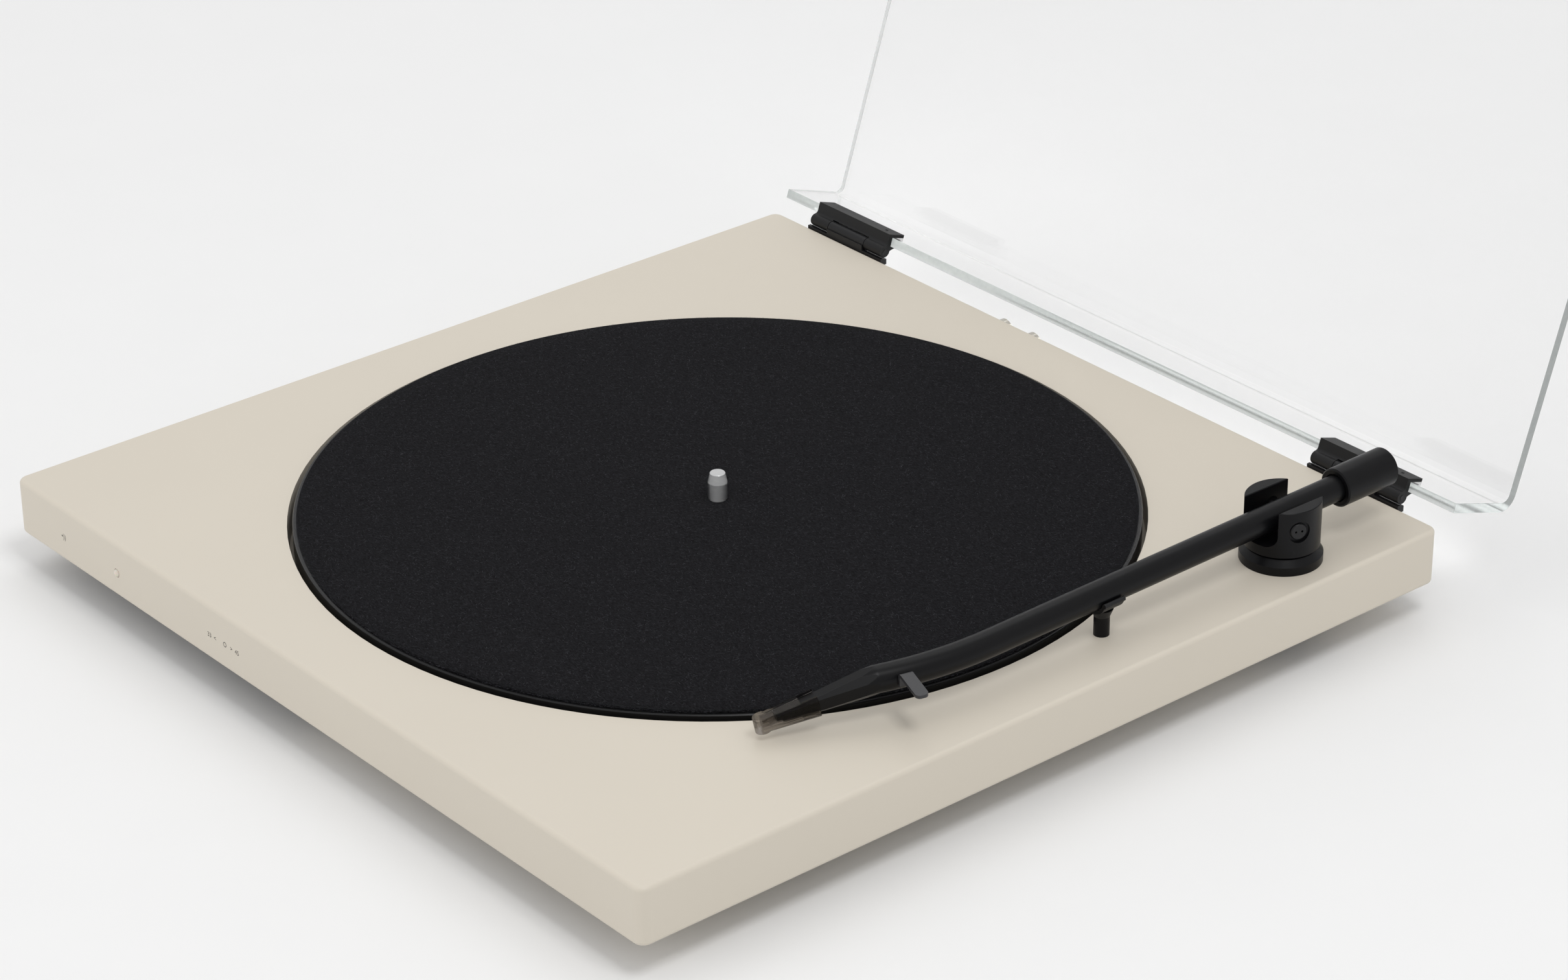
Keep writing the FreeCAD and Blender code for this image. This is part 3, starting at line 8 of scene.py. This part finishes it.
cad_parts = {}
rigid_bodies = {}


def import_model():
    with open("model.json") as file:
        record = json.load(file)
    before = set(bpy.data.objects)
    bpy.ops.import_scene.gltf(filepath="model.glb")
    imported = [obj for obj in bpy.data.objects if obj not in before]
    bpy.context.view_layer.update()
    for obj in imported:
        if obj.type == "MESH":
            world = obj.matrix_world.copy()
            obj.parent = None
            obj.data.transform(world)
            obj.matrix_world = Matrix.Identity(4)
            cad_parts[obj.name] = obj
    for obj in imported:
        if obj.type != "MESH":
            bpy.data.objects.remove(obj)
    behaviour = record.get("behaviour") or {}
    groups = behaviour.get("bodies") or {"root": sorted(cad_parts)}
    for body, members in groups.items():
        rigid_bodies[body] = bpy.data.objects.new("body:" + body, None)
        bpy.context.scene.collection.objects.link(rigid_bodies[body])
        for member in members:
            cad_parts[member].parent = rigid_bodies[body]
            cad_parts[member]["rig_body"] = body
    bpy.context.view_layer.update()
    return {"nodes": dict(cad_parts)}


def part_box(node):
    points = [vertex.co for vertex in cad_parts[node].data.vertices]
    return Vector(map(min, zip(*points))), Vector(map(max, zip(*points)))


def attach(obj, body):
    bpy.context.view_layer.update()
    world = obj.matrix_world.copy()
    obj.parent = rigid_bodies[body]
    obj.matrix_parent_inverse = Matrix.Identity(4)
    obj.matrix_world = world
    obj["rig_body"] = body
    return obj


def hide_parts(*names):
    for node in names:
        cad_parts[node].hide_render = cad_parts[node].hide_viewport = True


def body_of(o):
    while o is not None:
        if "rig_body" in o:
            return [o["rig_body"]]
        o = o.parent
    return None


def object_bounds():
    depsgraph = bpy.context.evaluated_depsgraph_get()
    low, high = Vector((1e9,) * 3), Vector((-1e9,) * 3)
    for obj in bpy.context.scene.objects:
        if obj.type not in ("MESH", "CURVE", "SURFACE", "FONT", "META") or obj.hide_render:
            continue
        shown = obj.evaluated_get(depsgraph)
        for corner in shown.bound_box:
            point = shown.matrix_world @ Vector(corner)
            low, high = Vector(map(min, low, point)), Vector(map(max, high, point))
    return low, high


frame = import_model()
MM = 0.001


# ---------------------------------------------------------------- plinth
# A square board, filled, sanded and sprayed with sand-coloured satin lacquer on every face.
# The gun leaves a faint orange peel, and the sanded edges are softly rounded.

def linear(hex_colour):
    """Scene-linear colour of an sRGB hex value."""
    shares = [int(hex_colour[i:i + 2], 16) / 255 for i in (1, 3, 5)]
    return tuple(s / 12.92 if s <= 0.04045 else ((s + 0.055) / 1.055) ** 2.4 for s in shares) + (1.0,)


def add(material, kind, values=None, links=None, **settings):
    """Adds one node: settings are its properties, values fill its sockets, links join outputs to them."""
    tree = material.node_tree
    made = tree.nodes.new("ShaderNode" + kind)
    for name, value in settings.items():
        setattr(made, name, value)
    for name, value in (values or {}).items():
        made.inputs[name].default_value = value
    for name, output in (links or {}).items():
        tree.links.new(output, made.inputs[name])
    return made


def start(name, values):
    """A new material with its shader's own sockets set; gives it, the shader and the piece's coordinates."""
    material = bpy.data.materials.new(name)
    material.use_nodes = True
    shader = material.node_tree.nodes["Principled BSDF"]
    for socket, value in values.items():
        shader.inputs[socket].default_value = value
    return material, shader, add(material, "TexCoord").outputs["Object"]


def grained(name, dark, light, grain, relief, rough, spread=0.05, values=None):
    """A finish with a fine even grain of that size and relief, in millimetres, in colour and gloss."""
    material, shader, place = start(name, values or {})
    links = material.node_tree.links
    noise = add(material, "TexNoise", {"Scale": 1 / (grain * MM), "Detail": 3.0}, {"Vector": place})
    tint = add(material, "Mix", {6: linear(dark), 7: linear(light)}, {0: noise.outputs[0]}, data_type="RGBA")
    gloss = add(material, "MapRange", {"To Min": rough - spread, "To Max": rough + spread},
                {"Value": noise.outputs[0]})
    bump = add(material, "Bump", {"Distance": relief * MM}, {"Height": noise.outputs[0]})
    links.new(tint.outputs[2], shader.inputs["Base Color"])
    links.new(gloss.outputs[0], shader.inputs["Roughness"])
    links.new(bump.outputs[0], shader.inputs["Normal"])
    return material


def coat(material, *names):
    """Gives CAD pieces a finish."""
    for name in names:
        for slot in frame["nodes"][name].material_slots:
            slot.material = material


# Satin lacquer: even sand colour with a barely seen cloud, a soft sheen, and a 1.5 mm orange peel.
sand_lacquer, shader, place = start("sand_satin_lacquer", {"Specular IOR Level": 0.45})
cloud = add(sand_lacquer, "TexNoise", {"Scale": 1 / (90 * MM), "Detail": 2.0}, {"Vector": place})
tint = add(sand_lacquer, "Mix", {6: linear("#D0C8BA"), 7: linear("#D4CCBE")}, {0: cloud.outputs[0]},
           data_type="RGBA")
peel = add(sand_lacquer, "TexNoise", {"Scale": 1 / (1.5 * MM), "Detail": 1.0}, {"Vector": place})
speck = add(sand_lacquer, "TexNoise", {"Scale": 1 / (0.25 * MM), "Detail": 2.0}, {"Vector": place})
relief = add(sand_lacquer, "Math", {1: 0.25}, {0: speck.outputs[0], 2: peel.outputs[0]},
             operation="MULTIPLY_ADD")
gloss = add(sand_lacquer, "MapRange", {"To Min": 0.40, "To Max": 0.50}, {"Value": cloud.outputs[0]})
bump = add(sand_lacquer, "Bump", {"Distance": 0.006 * MM}, {"Height": relief.outputs[0]})
sand_lacquer.node_tree.links.new(tint.outputs[2], shader.inputs["Base Color"])
sand_lacquer.node_tree.links.new(gloss.outputs[0], shader.inputs["Roughness"])
sand_lacquer.node_tree.links.new(bump.outputs[0], shader.inputs["Normal"])
coat(sand_lacquer, "plinth")


# ---------------------------------------------------------------- platter and main bearing
# A die-cast platter, skimmed in a lathe and sprayed satin black, on a moulded sub-platter.
# The spindle shaft is turned from aluminium bar and runs in a bronze bush on a steel ball.

WAVE = math.pi / 10       # spacing of a wave texture of scale 1, in metres


def turned_rings(name, dark, light, spacing, relief, rough, direction, values):
    """A lathe-turned finish: tool rings of that spacing about Z, or steps along it, in millimetres."""
    material, shader, place = start(name, values)
    links = material.node_tree.links
    kind = {"wave_type": "RINGS", "rings_direction": "Z"}
    if direction == "along":
        kind = {"wave_type": "BANDS", "bands_direction": "Z"}
    rings = add(material, "TexWave", {"Scale": WAVE / (spacing * MM), "Distortion": 1.2, "Detail": 2.0},
                {"Vector": place}, **kind)
    grime = add(material, "TexNoise", {"Scale": 1 / (2.5 * MM), "Detail": 4.0}, {"Vector": place})
    tint = add(material, "Mix", {6: linear(dark), 7: linear(light)}, {0: grime.outputs[0]}, data_type="RGBA")
    gloss = add(material, "MapRange", {"To Min": rough - 0.06, "To Max": rough + 0.06},
                {"Value": rings.outputs[1]})
    bump = add(material, "Bump", {"Distance": relief * MM}, {"Height": rings.outputs[1]})
    links.new(tint.outputs[2], shader.inputs["Base Color"])
    links.new(gloss.outputs[0], shader.inputs["Roughness"])
    links.new(bump.outputs[0], shader.inputs["Normal"])
    return material


platter_lacquer = turned_rings("black_satin_lacquer_on_turned_casting", "#0C0C0D", "#121213", 0.8, 0.003,
                               0.30, "across", {"Specular IOR Level": 0.35})
turned_aluminium = turned_rings("turned_aluminium", "#D6D7D8", "#E6E6E6", 0.16, 0.02, 0.22, "along",
                                {"Metallic": 1.0})
bush_bronze = turned_rings("sintered_bronze", "#7A5A34", "#9A7544", 0.3, 0.004, 0.38, "along",
                           {"Metallic": 1.0})
ball_steel = grained("ground_bearing_steel", "#B9BCC0", "#C9CBCE", 0.4, 0.0005, 0.08, 0.02, {"Metallic": 1.0})
cast_zinc = grained("die_cast_zinc", "#8B8D90", "#A5A7A9", 0.8, 0.02, 0.45, 0.08, {"Metallic": 1.0})
zinc_plate = grained("zinc_plated_steel", "#A9ACB0", "#C4C7CA", 0.6, 0.003, 0.28, 0.06, {"Metallic": 1.0})
# Moulded ABS: a fine spark-eroded texture, so the black is a soft even grey in the light.
moulded_abs = grained("spark_textured_black_abs", "#0F0F10", "#19191A", 0.35, 0.012, 0.48, 0.05,
                      {"Specular IOR Level": 0.3})
rubber = grained("black_nitrile_rubber", "#0E0E0F", "#171718", 0.5, 0.008, 0.62)
coat(platter_lacquer, "platter")
coat(turned_aluminium, "spindle_shaft")
coat(bush_bronze, "bearing_bush")
coat(ball_steel, "thrust_ball", "swing_bearings", "motor_shaft")
coat(cast_zinc, "bearing_housing")
coat(zinc_plate, "recess_screws", "motor", "motor_plate", "motor_pulley", "arm_base_nut", "jack_plate")
coat(moulded_abs, "sub_platter", "motor_cover")
coat(rubber, "drive_belt")


# ---------------------------------------------------------------- felt mat
# A disc punched from black wool felt. It lies loose on the platter, its cut rim is a little soft,
# and single paler fibres stand up all over it.

mat_low, mat_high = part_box("felt_mat")
mat_radius = mat_high.x
mat_hole = 3.62 * MM
mat_thickness = mat_high.z - mat_low.z
rim_round = 0.32 * MM
bpy.ops.object.select_all(action="DESELECT")
section_middle = ((mat_radius + mat_hole) / 2, 0, (mat_low.z + mat_high.z) / 2)
bpy.ops.mesh.primitive_plane_add(size=1, location=section_middle, rotation=(math.pi / 2, 0, 0))
felt_mat = bpy.context.object
felt_mat.name = "wool_felt_mat"
felt_mat.scale = (mat_radius - mat_hole, mat_thickness, 1)
bpy.ops.object.transform_apply(location=True, rotation=True, scale=True)
bpy.ops.object.mode_set(mode="EDIT")
bpy.ops.mesh.select_all(action="SELECT")
bpy.ops.mesh.bevel(offset=rim_round, segments=4, affect="VERTICES")
bpy.ops.mesh.delete(type="ONLY_FACE")
bpy.ops.object.mode_set(mode="OBJECT")
for edge in felt_mat.data.edges:
    ends = [felt_mat.data.vertices[i].co for i in edge.vertices]
    edge.select = abs(ends[0].x - ends[1].x) > mat_radius / 2
for vertex in felt_mat.data.vertices:
    vertex.select = False
bpy.ops.object.mode_set(mode="EDIT")
bpy.context.tool_settings.mesh_select_mode = (False, True, False)
bpy.ops.mesh.subdivide(number_cuts=15)
bpy.ops.mesh.select_all(action="SELECT")
bpy.ops.mesh.spin(steps=256, angle=2 * math.pi, center=(0, 0, 0), axis=(0, 0, 1))
bpy.ops.mesh.select_all(action="SELECT")
bpy.ops.mesh.remove_doubles(threshold=0.01 * MM)
bpy.ops.mesh.normals_make_consistent(inside=False)
bpy.context.tool_settings.mesh_select_mode = (True, False, False)
bpy.ops.object.mode_set(mode="OBJECT")
bpy.ops.object.shade_smooth_by_angle(angle=math.radians(40))

# Pressed wool: a tangle of 0.45 mm strands in two slanting lays, lighter where a strand lies on top.
wool_felt, shader, place = start("pressed_black_wool_felt", {"Roughness": 0.95, "Specular IOR Level": 0.08,
                                                             "Sheen Weight": 0.06, "Sheen Roughness": 0.6,
                                                             "Sheen Tint": linear("#8C8C92")})
bend = add(wool_felt, "TexNoise", {"Scale": 1 / (4 * MM), "Detail": 2.0}, {"Vector": place})
bent = add(wool_felt, "VectorMath", {"Scale": 1.6 * MM}, {0: bend.outputs[1]}, operation="SCALE")
place_bent = add(wool_felt, "VectorMath", {}, {0: place, 1: bent.outputs[0]}, operation="ADD")
lays = []
for turn in (25, -50):
    lay = add(wool_felt, "Mapping", {"Rotation": (0, 0, math.radians(turn)), "Scale": (0.38, 1.0, 1.0)},
              {"Vector": place_bent.outputs[0]})
    lays.append(add(wool_felt, "TexNoise", {"Scale": 1 / (0.45 * MM), "Detail": 4.0, "Roughness": 0.7},
                    {"Vector": lay.outputs[0]}))
top_strand = add(wool_felt, "Math", {}, {0: lays[0].outputs[0], 1: lays[1].outputs[0]}, operation="MAXIMUM")
shade = add(wool_felt, "MapRange", {"From Min": 0.46, "From Max": 0.72}, {"Value": top_strand.outputs[0]})
tint = add(wool_felt, "Mix", {6: linear("#030304"), 7: linear("#232326")}, {0: shade.outputs[0]},
           data_type="RGBA")
bump = add(wool_felt, "Bump", {"Distance": 0.14 * MM, "Strength": 0.8}, {"Height": top_strand.outputs[0]})
wool_felt.node_tree.links.new(tint.outputs[2], shader.inputs["Base Color"])
wool_felt.node_tree.links.new(bump.outputs[0], shader.inputs["Normal"])
felt_mat.data.materials.append(wool_felt)
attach(felt_mat, "platter")
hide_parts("felt_mat")

# Loose fibres, drawn 0.045 mm wide, about twice the real width, so that they show.
random.seed(12)
fibre_width = 0.045 * MM
fibre_steps = 4
fibre_points, fibre_faces = [], []


def lay_fibre(x, y, z, heading, length, curl, lift):
    """One curly fibre as a narrow strip that rises off the felt by lift and comes down again."""
    first = len(fibre_points)
    for step in range(fibre_steps + 1):
        side = Vector((-math.sin(heading), math.cos(heading), 0)) * fibre_width / 2
        height = z + lift * math.sin(math.pi * step / fibre_steps)
        fibre_points.append(Vector((x, y, height)) - side)
        fibre_points.append(Vector((x, y, height)) + side)
        x += length / fibre_steps * math.cos(heading)
        y += length / fibre_steps * math.sin(heading)
        heading += curl
    for step in range(fibre_steps):
        corner = first + 2 * step
        fibre_faces.append((corner, corner + 2, corner + 3, corner + 1))


for count in range(14000):
    reach = math.sqrt(random.uniform((6 * MM) ** 2, (mat_radius - 2 * MM) ** 2))
    bearing = random.uniform(0, 2 * math.pi)
    lay_fibre(reach * math.cos(bearing), reach * math.sin(bearing), mat_high.z + 0.01 * MM,
              random.uniform(0, 2 * math.pi), random.uniform(0.4, 1.6) * MM, random.uniform(-0.5, 0.5),
              random.uniform(0.02, 0.2) * MM)
for count in range(3600):
    bearing = random.uniform(0, 2 * math.pi)
    reach = mat_radius - 0.3 * MM
    height = mat_high.z - random.uniform(0.1, 0.8) * MM
    lay_fibre(reach * math.cos(bearing), reach * math.sin(bearing), height,
              bearing + random.uniform(-1.3, 1.3), random.uniform(0.5, 1.2) * MM, random.uniform(-0.7, 0.7),
              random.uniform(0, 0.15) * MM)
mesh = bpy.data.meshes.new("wool_fibres")
mesh.from_pydata(fibre_points, [], fibre_faces)
wool_fibres = bpy.data.objects.new("wool_fibres", mesh)
bpy.context.scene.collection.objects.link(wool_fibres)
wool_fibres.data.materials.append(
    grained("loose_wool_fibre", "#1E1E21", "#66666C", 3.0, 0.0, 0.9, 0.05, {"Specular IOR Level": 0.2}))
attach(wool_fibres, "platter")


# ---------------------------------------------------------------- feet and underside
# Four moulded feet with rubber pads, and moulded covers screwed under the pockets.

coat(moulded_abs, "foot_front_left", "foot_front_right", "foot_rear_left", "foot_rear_right",
     "control_cover", "jack_cover", "speed_lever", "pair_button", "speed_switch", "pair_switch", "dc_inlet")
coat(rubber, "foot_pads")
# Black-zinc screws: a dull dark plating with brighter worn spots.
black_zinc = grained("black_zinc_plated_steel", "#1B1B1D", "#38383B", 0.7, 0.003, 0.35, 0.08,
                     {"Metallic": 0.8})
coat(black_zinc, "underside_screws", "rear_screws")


# ---------------------------------------------------------------- boards and sockets
# Green glass-fibre boards under the covers, a tinned shield can, and nickel-plated sockets at the rear.

circuit_board = grained("green_solder_mask", "#12361F", "#1D5330", 2.0, 0.01, 0.35)
shield_can = grained("tinned_steel_can", "#B4B6B8", "#CDCFD0", 1.2, 0.004, 0.25, 0.05, {"Metallic": 1.0})
nickel_plate = turned_rings("nickel_plated_brass", "#BDB9B0", "#D6D2C8", 0.5, 0.004, 0.2, "along",
                            {"Metallic": 1.0})
coat(circuit_board, "control_board", "jack_board")
coat(shield_can, "wireless_module")
coat(nickel_plate, "rca_jacks", "ground_post")

# The lamp's lens: moulded in a milky sand-tinted acrylic, flush with its bore but for a low dome.
lamp_lens = grained("milky_acrylic", "#D5CDBF", "#E2DBCE", 0.8, 0.001, 0.25, 0.03,
                    {"Subsurface Weight": 0.4, "Subsurface Scale": 1.0 * MM})
coat(lamp_lens, "status_led")


# ---------------------------------------------------------------- front legends
# Pad-printed marks in dark grey ink beside the controls: speeds with arrows, and a radio sign.

ink_height = 0.02 * MM
front_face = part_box("plinth")[0].y
plinth_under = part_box("plinth")[0].z
# Pad-printing ink: a thin matt film, slightly uneven where the pad lifts.
print_ink = grained("dark_grey_printing_ink", "#3A3733", "#4A4743", 0.3, 0.001, 0.6)


def print_on_front(piece, left, low):
    """Stands a flat mark upright on the front face and gives it ink."""
    piece.data.transform(Matrix.Translation((left, front_face - ink_height / 2, low))
                         @ Matrix.Rotation(math.pi / 2, 4, "X"))
    piece.data.materials.clear()
    piece.data.materials.append(print_ink)
    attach(piece, "plinth_body")


def print_text(name, text, size, left, low):
    bpy.ops.object.select_all(action="DESELECT")
    bpy.ops.object.text_add()
    piece = bpy.context.object
    piece.name = name
    piece.data.body = text
    piece.data.size = size
    piece.data.extrude = ink_height / 2
    bpy.ops.object.convert(target="MESH")
    print_on_front(bpy.context.object, left, low)


baseline = plinth_under + 8.9 * MM
speed_size = 2.5 * MM
radio_size = 2.9 * MM
print_text("legend_slow", "33  <", speed_size, -56.9 * MM, baseline)
print_text("legend_fast", ">  45", speed_size, -43.2 * MM, baseline)
print_text("legend_radio", "•))", radio_size, -149.3 * MM, baseline)
ring_radius = 0.95 * MM
ring_line = 0.25 * MM
ring_height = plinth_under + 9.8 * MM
bpy.ops.object.select_all(action="DESELECT")
bpy.ops.mesh.primitive_circle_add(vertices=32, radius=ring_radius, fill_type="NGON", enter_editmode=True)
bpy.ops.mesh.inset(thickness=ring_line)
bpy.ops.mesh.delete(type="FACE")
bpy.ops.mesh.select_all(action="SELECT")
bpy.ops.mesh.extrude_region_move(TRANSFORM_OT_translate={"value": (0, 0, ink_height)})
bpy.ops.mesh.select_all(action="SELECT")
bpy.ops.mesh.normals_make_consistent(inside=False)
bpy.ops.object.mode_set(mode="OBJECT")
legend_off = bpy.context.object
legend_off.name = "legend_off"
print_on_front(legend_off, -46.3 * MM, ring_height)


# ---------------------------------------------------------------- arm pivot
# A turned base, and a slotted post on a shaft in two ball bearings. Both are aluminium,
# bead blasted and anodised black, with the edges just broken.

def eased(node, name, width):
    """A copy of a CAD piece with its sharp edges broken by that width, in place of the CAD piece."""
    source = frame["nodes"][node]
    piece = bpy.data.objects.new(name, source.data.copy())
    bpy.context.scene.collection.objects.link(piece)
    bpy.ops.object.select_all(action="DESELECT")
    bpy.context.view_layer.objects.active = piece
    piece.select_set(True)
    bpy.ops.object.mode_set(mode="EDIT")
    bpy.ops.mesh.select_all(action="SELECT")
    bpy.ops.mesh.customdata_custom_splitnormals_clear()
    bpy.ops.mesh.remove_doubles(threshold=0.002 * MM)
    bpy.ops.mesh.dissolve_limited(angle_limit=math.radians(0.5))
    bpy.ops.object.mode_set(mode="OBJECT")
    broken = piece.modifiers.new("broken_edges", "BEVEL")
    broken.width = width
    broken.segments = 2
    broken.limit_method = "ANGLE"
    broken.angle_limit = math.radians(40)
    broken.harden_normals = False
    bpy.ops.object.modifier_apply(modifier="broken_edges")
    bpy.ops.object.shade_smooth_by_angle(angle=math.radians(30))
    flat = piece.modifiers.new("flat_faces_stay_flat", "WEIGHTED_NORMAL")
    flat.weight = 100
    flat.keep_sharp = True
    bpy.ops.object.modifier_apply(modifier="flat_faces_stay_flat")
    for slot in piece.material_slots:
        slot.material = source.material_slots[0].material
    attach(piece, body_of(source)[0])
    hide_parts(node)
    return piece


# Bead-blasted black anodising: a fine 0.15 mm sparkle over near-black, satin, greyer at a glance.
blasted_black = grained("bead_blasted_black_anodising", "#030304", "#131315", 0.18, 0.014, 0.34, 0.08,
                        {"Specular IOR Level": 0.17})
coat(blasted_black, "arm_base", "yoke", "counterweight", "rest_post", "yoke_shaft", "headshell", "arm_tube")
# Black-oxide steel: the same black, a little glossier where the tool turned it.
black_oxide = grained("black_oxide_steel", "#111112", "#1D1D1F", 0.5, 0.004, 0.36, 0.06,
                      {"Specular IOR Level": 0.3})
coat(black_oxide, "pivot_screws", "shaft_clip", "hinge_plates", "hinge_pins")
# The finger lift is rolled aluminium strip, anodised black; its greyer colour is a painted sheen that stands
# in for the light its top reflects.
lift_grey_painted_sheen = grained("black_anodising_greyed_by_painted_sheen", "#2A2A2C", "#343437", 0.3, 0.004, 0.30, 0.05,
                        {"Specular IOR Level": 0.4})
coat(lift_grey_painted_sheen, "finger_lift")
eased("yoke", "slotted_yoke", 0.2 * MM)
eased("arm_base", "turned_arm_base", 0.15 * MM)
eased("finger_lift", "bent_finger_lift", 0.12 * MM)
coat(bush_bronze, "pivot_bushes")


# ---------------------------------------------------------------- cartridge and guard
# The pick-up is a small moulded block with an aluminium cantilever, under a clip-on smoky guard.

pick_up_plastic = grained("fine_moulded_black_pbt", "#0D0D0E", "#151516", 0.25, 0.001, 0.42, 0.03,
                          {"Specular IOR Level": 0.3})
coat(pick_up_plastic, "cartridge")
coat(turned_aluminium, "stylus")


def clear_plastic(name, colour, rough, haze, straight, values):
    """A clear plastic that lets the lamps' light through; straight is its share seen without refraction."""
    material, shader, place = start(name, dict(values, **{"Base Color": linear(colour)}))
    tree = material.node_tree
    dust = add(material, "TexNoise", {"Scale": 1 / (6 * MM), "Detail": 4.0}, {"Vector": place})
    gloss = add(material, "MapRange", {"To Min": rough, "To Max": rough + haze}, {"Value": dust.outputs[0]})
    tree.links.new(gloss.outputs[0], shader.inputs["Roughness"])
    through = add(material, "BsdfTransparent", {"Color": linear(colour)})
    rays = add(material, "LightPath")
    share = add(material, "Math", {1: straight}, {0: rays.outputs["Is Shadow Ray"]}, operation="MAXIMUM")
    mixed = add(material, "MixShader", {}, {0: share.outputs[0], 1: shader.outputs[0],
                                            2: through.outputs[0]})
    tree.links.new(mixed.outputs[0], tree.nodes["Material Output"].inputs["Surface"])
    return material


smoky_acrylic = clear_plastic("smoky_polycarbonate", "#C2BEBA", 0.0, 0.01, 0.6,
                              {"Transmission Weight": 1.0, "IOR": 1.3})
coat(smoky_acrylic, "stylus_guard")
eased("stylus_guard", "moulded_stylus_guard", 0.28 * MM)


# ---------------------------------------------------------------- arm trim and rest
# A moulded plug closes the tube, a rubber ring grips it inside the weight, and the rest is a
# moulded clip on an anodised post.

coat(moulded_abs, "arm_end_cap", "rest_clip")
coat(rubber, "weight_ring")


# ---------------------------------------------------------------- hinges and lid
# Two moulded clips grip the flange of a bent sheet of clear cast acrylic and turn on steel pins.

coat(moulded_abs, "hinge_clips")
eased("hinge_clips", "moulded_hinge_clips", 0.08 * MM)
clear_acrylic = clear_plastic("clear_cast_acrylic", "#FFFFFF", 0.0, 0.01, 0.0,
                              {"Transmission Weight": 1.0, "IOR": 1.49})
coat(clear_acrylic, "lid")
# The sheet's sawn edges are scraped and flame polished. Their near-white colour and diffuse share are a
# painted glow, standing in for light carried inside the sheet to its edges.
glowing_edge_paint = grained("acrylic_edge_with_painted_glow", "#DCE4E2", "#F6F9F8", 1.5, 0.002, 0.14, 0.05,
                        {"Transmission Weight": 0.55, "IOR": 1.49})
bent_sheet = eased("lid", "bent_acrylic_sheet", 0.15 * MM)
bent_sheet.data.materials.append(glowing_edge_paint)
sheet_low, sheet_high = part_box("lid")
top_edge_depth = 4.5 * MM
low_edge_depth = 1.6 * MM
# The side and end faces of the sheet take the painted edge glow.
for face in bent_sheet.data.polygons:
    at_side = abs(face.normal.x) > 0.5
    at_end = face.center.z > sheet_high.z - top_edge_depth or face.center.y < sheet_low.y + low_edge_depth
    if at_side or at_end:
        face.material_index = 1



# ---------------------------------------------------------------- studio
# A pale seamless floor under an even white tent, one large softbox behind and to the left.

floor_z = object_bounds()[0][2]
bpy.ops.object.select_all(action="DESELECT")
bpy.ops.mesh.primitive_grid_add(x_subdivisions=20, y_subdivisions=20, size=9, location=(0, 0, floor_z))
floor = bpy.context.object
floor.name = "studio_floor"
# Matt paper: near white, very slightly mottled.
floor.data.materials.append(grained("matt_background_paper", "#EDEDED", "#EFEFEF", 40.0, 0.0, 0.9))

world = bpy.data.worlds.new("white_tent")
world.use_nodes = True
bpy.context.scene.world = world
background = world.node_tree.nodes["Background"]
background.inputs["Color"].default_value = linear("#F8F8F8")
background.inputs["Strength"].default_value = 0.77


def softbox(name, place, aim, size, power):
    """A square softbox facing the point aimed at."""
    light = bpy.data.lights.new(name, "AREA")
    light.shape = "SQUARE"
    light.size = size
    light.energy = power
    lamp = bpy.data.objects.new(name, light)
    lamp.location = place
    lamp.rotation_euler = (Vector(aim) - Vector(place)).to_track_quat("-Z", "Y").to_euler()
    bpy.context.scene.collection.objects.link(lamp)
    return lamp


softbox("key_softbox", (-1.0, 1.1, 2.4), (0, 0, 0), 1.8, 9)
softbox("glint_softbox", (1.05, -0.15, 2.05), (0.1, 0, 0), 0.7, 13)
# The low fill is flagged off the lid, so that it shows on the matt faces only.
fill = softbox("fill_softbox", (-0.7, -1.7, 0.55), (0, 0, 0), 1.0, 5)
fill.visible_glossy = False
fill.visible_transmission = False

camera_data = bpy.data.cameras.new("product_camera")
camera_data.sensor_width = 36
camera_data.lens = 101.195
camera = bpy.data.objects.new("product_camera", camera_data)
camera.location = (1.06455, -0.86159, 0.71961)
camera.rotation_euler = [math.radians(angle) for angle in (62.365, 0.390, 49.839)]
bpy.context.scene.collection.objects.link(camera)
bpy.context.scene.camera = camera
bpy.context.scene.view_settings.view_transform = "Standard"
# Light runs along inside the clear sheet and leaves at its edges, so it needs many bounces.
bpy.context.scene.cycles.max_bounces = 32
bpy.context.scene.cycles.transmission_bounces = 32
bpy.context.scene.cycles.glossy_bounces = 32
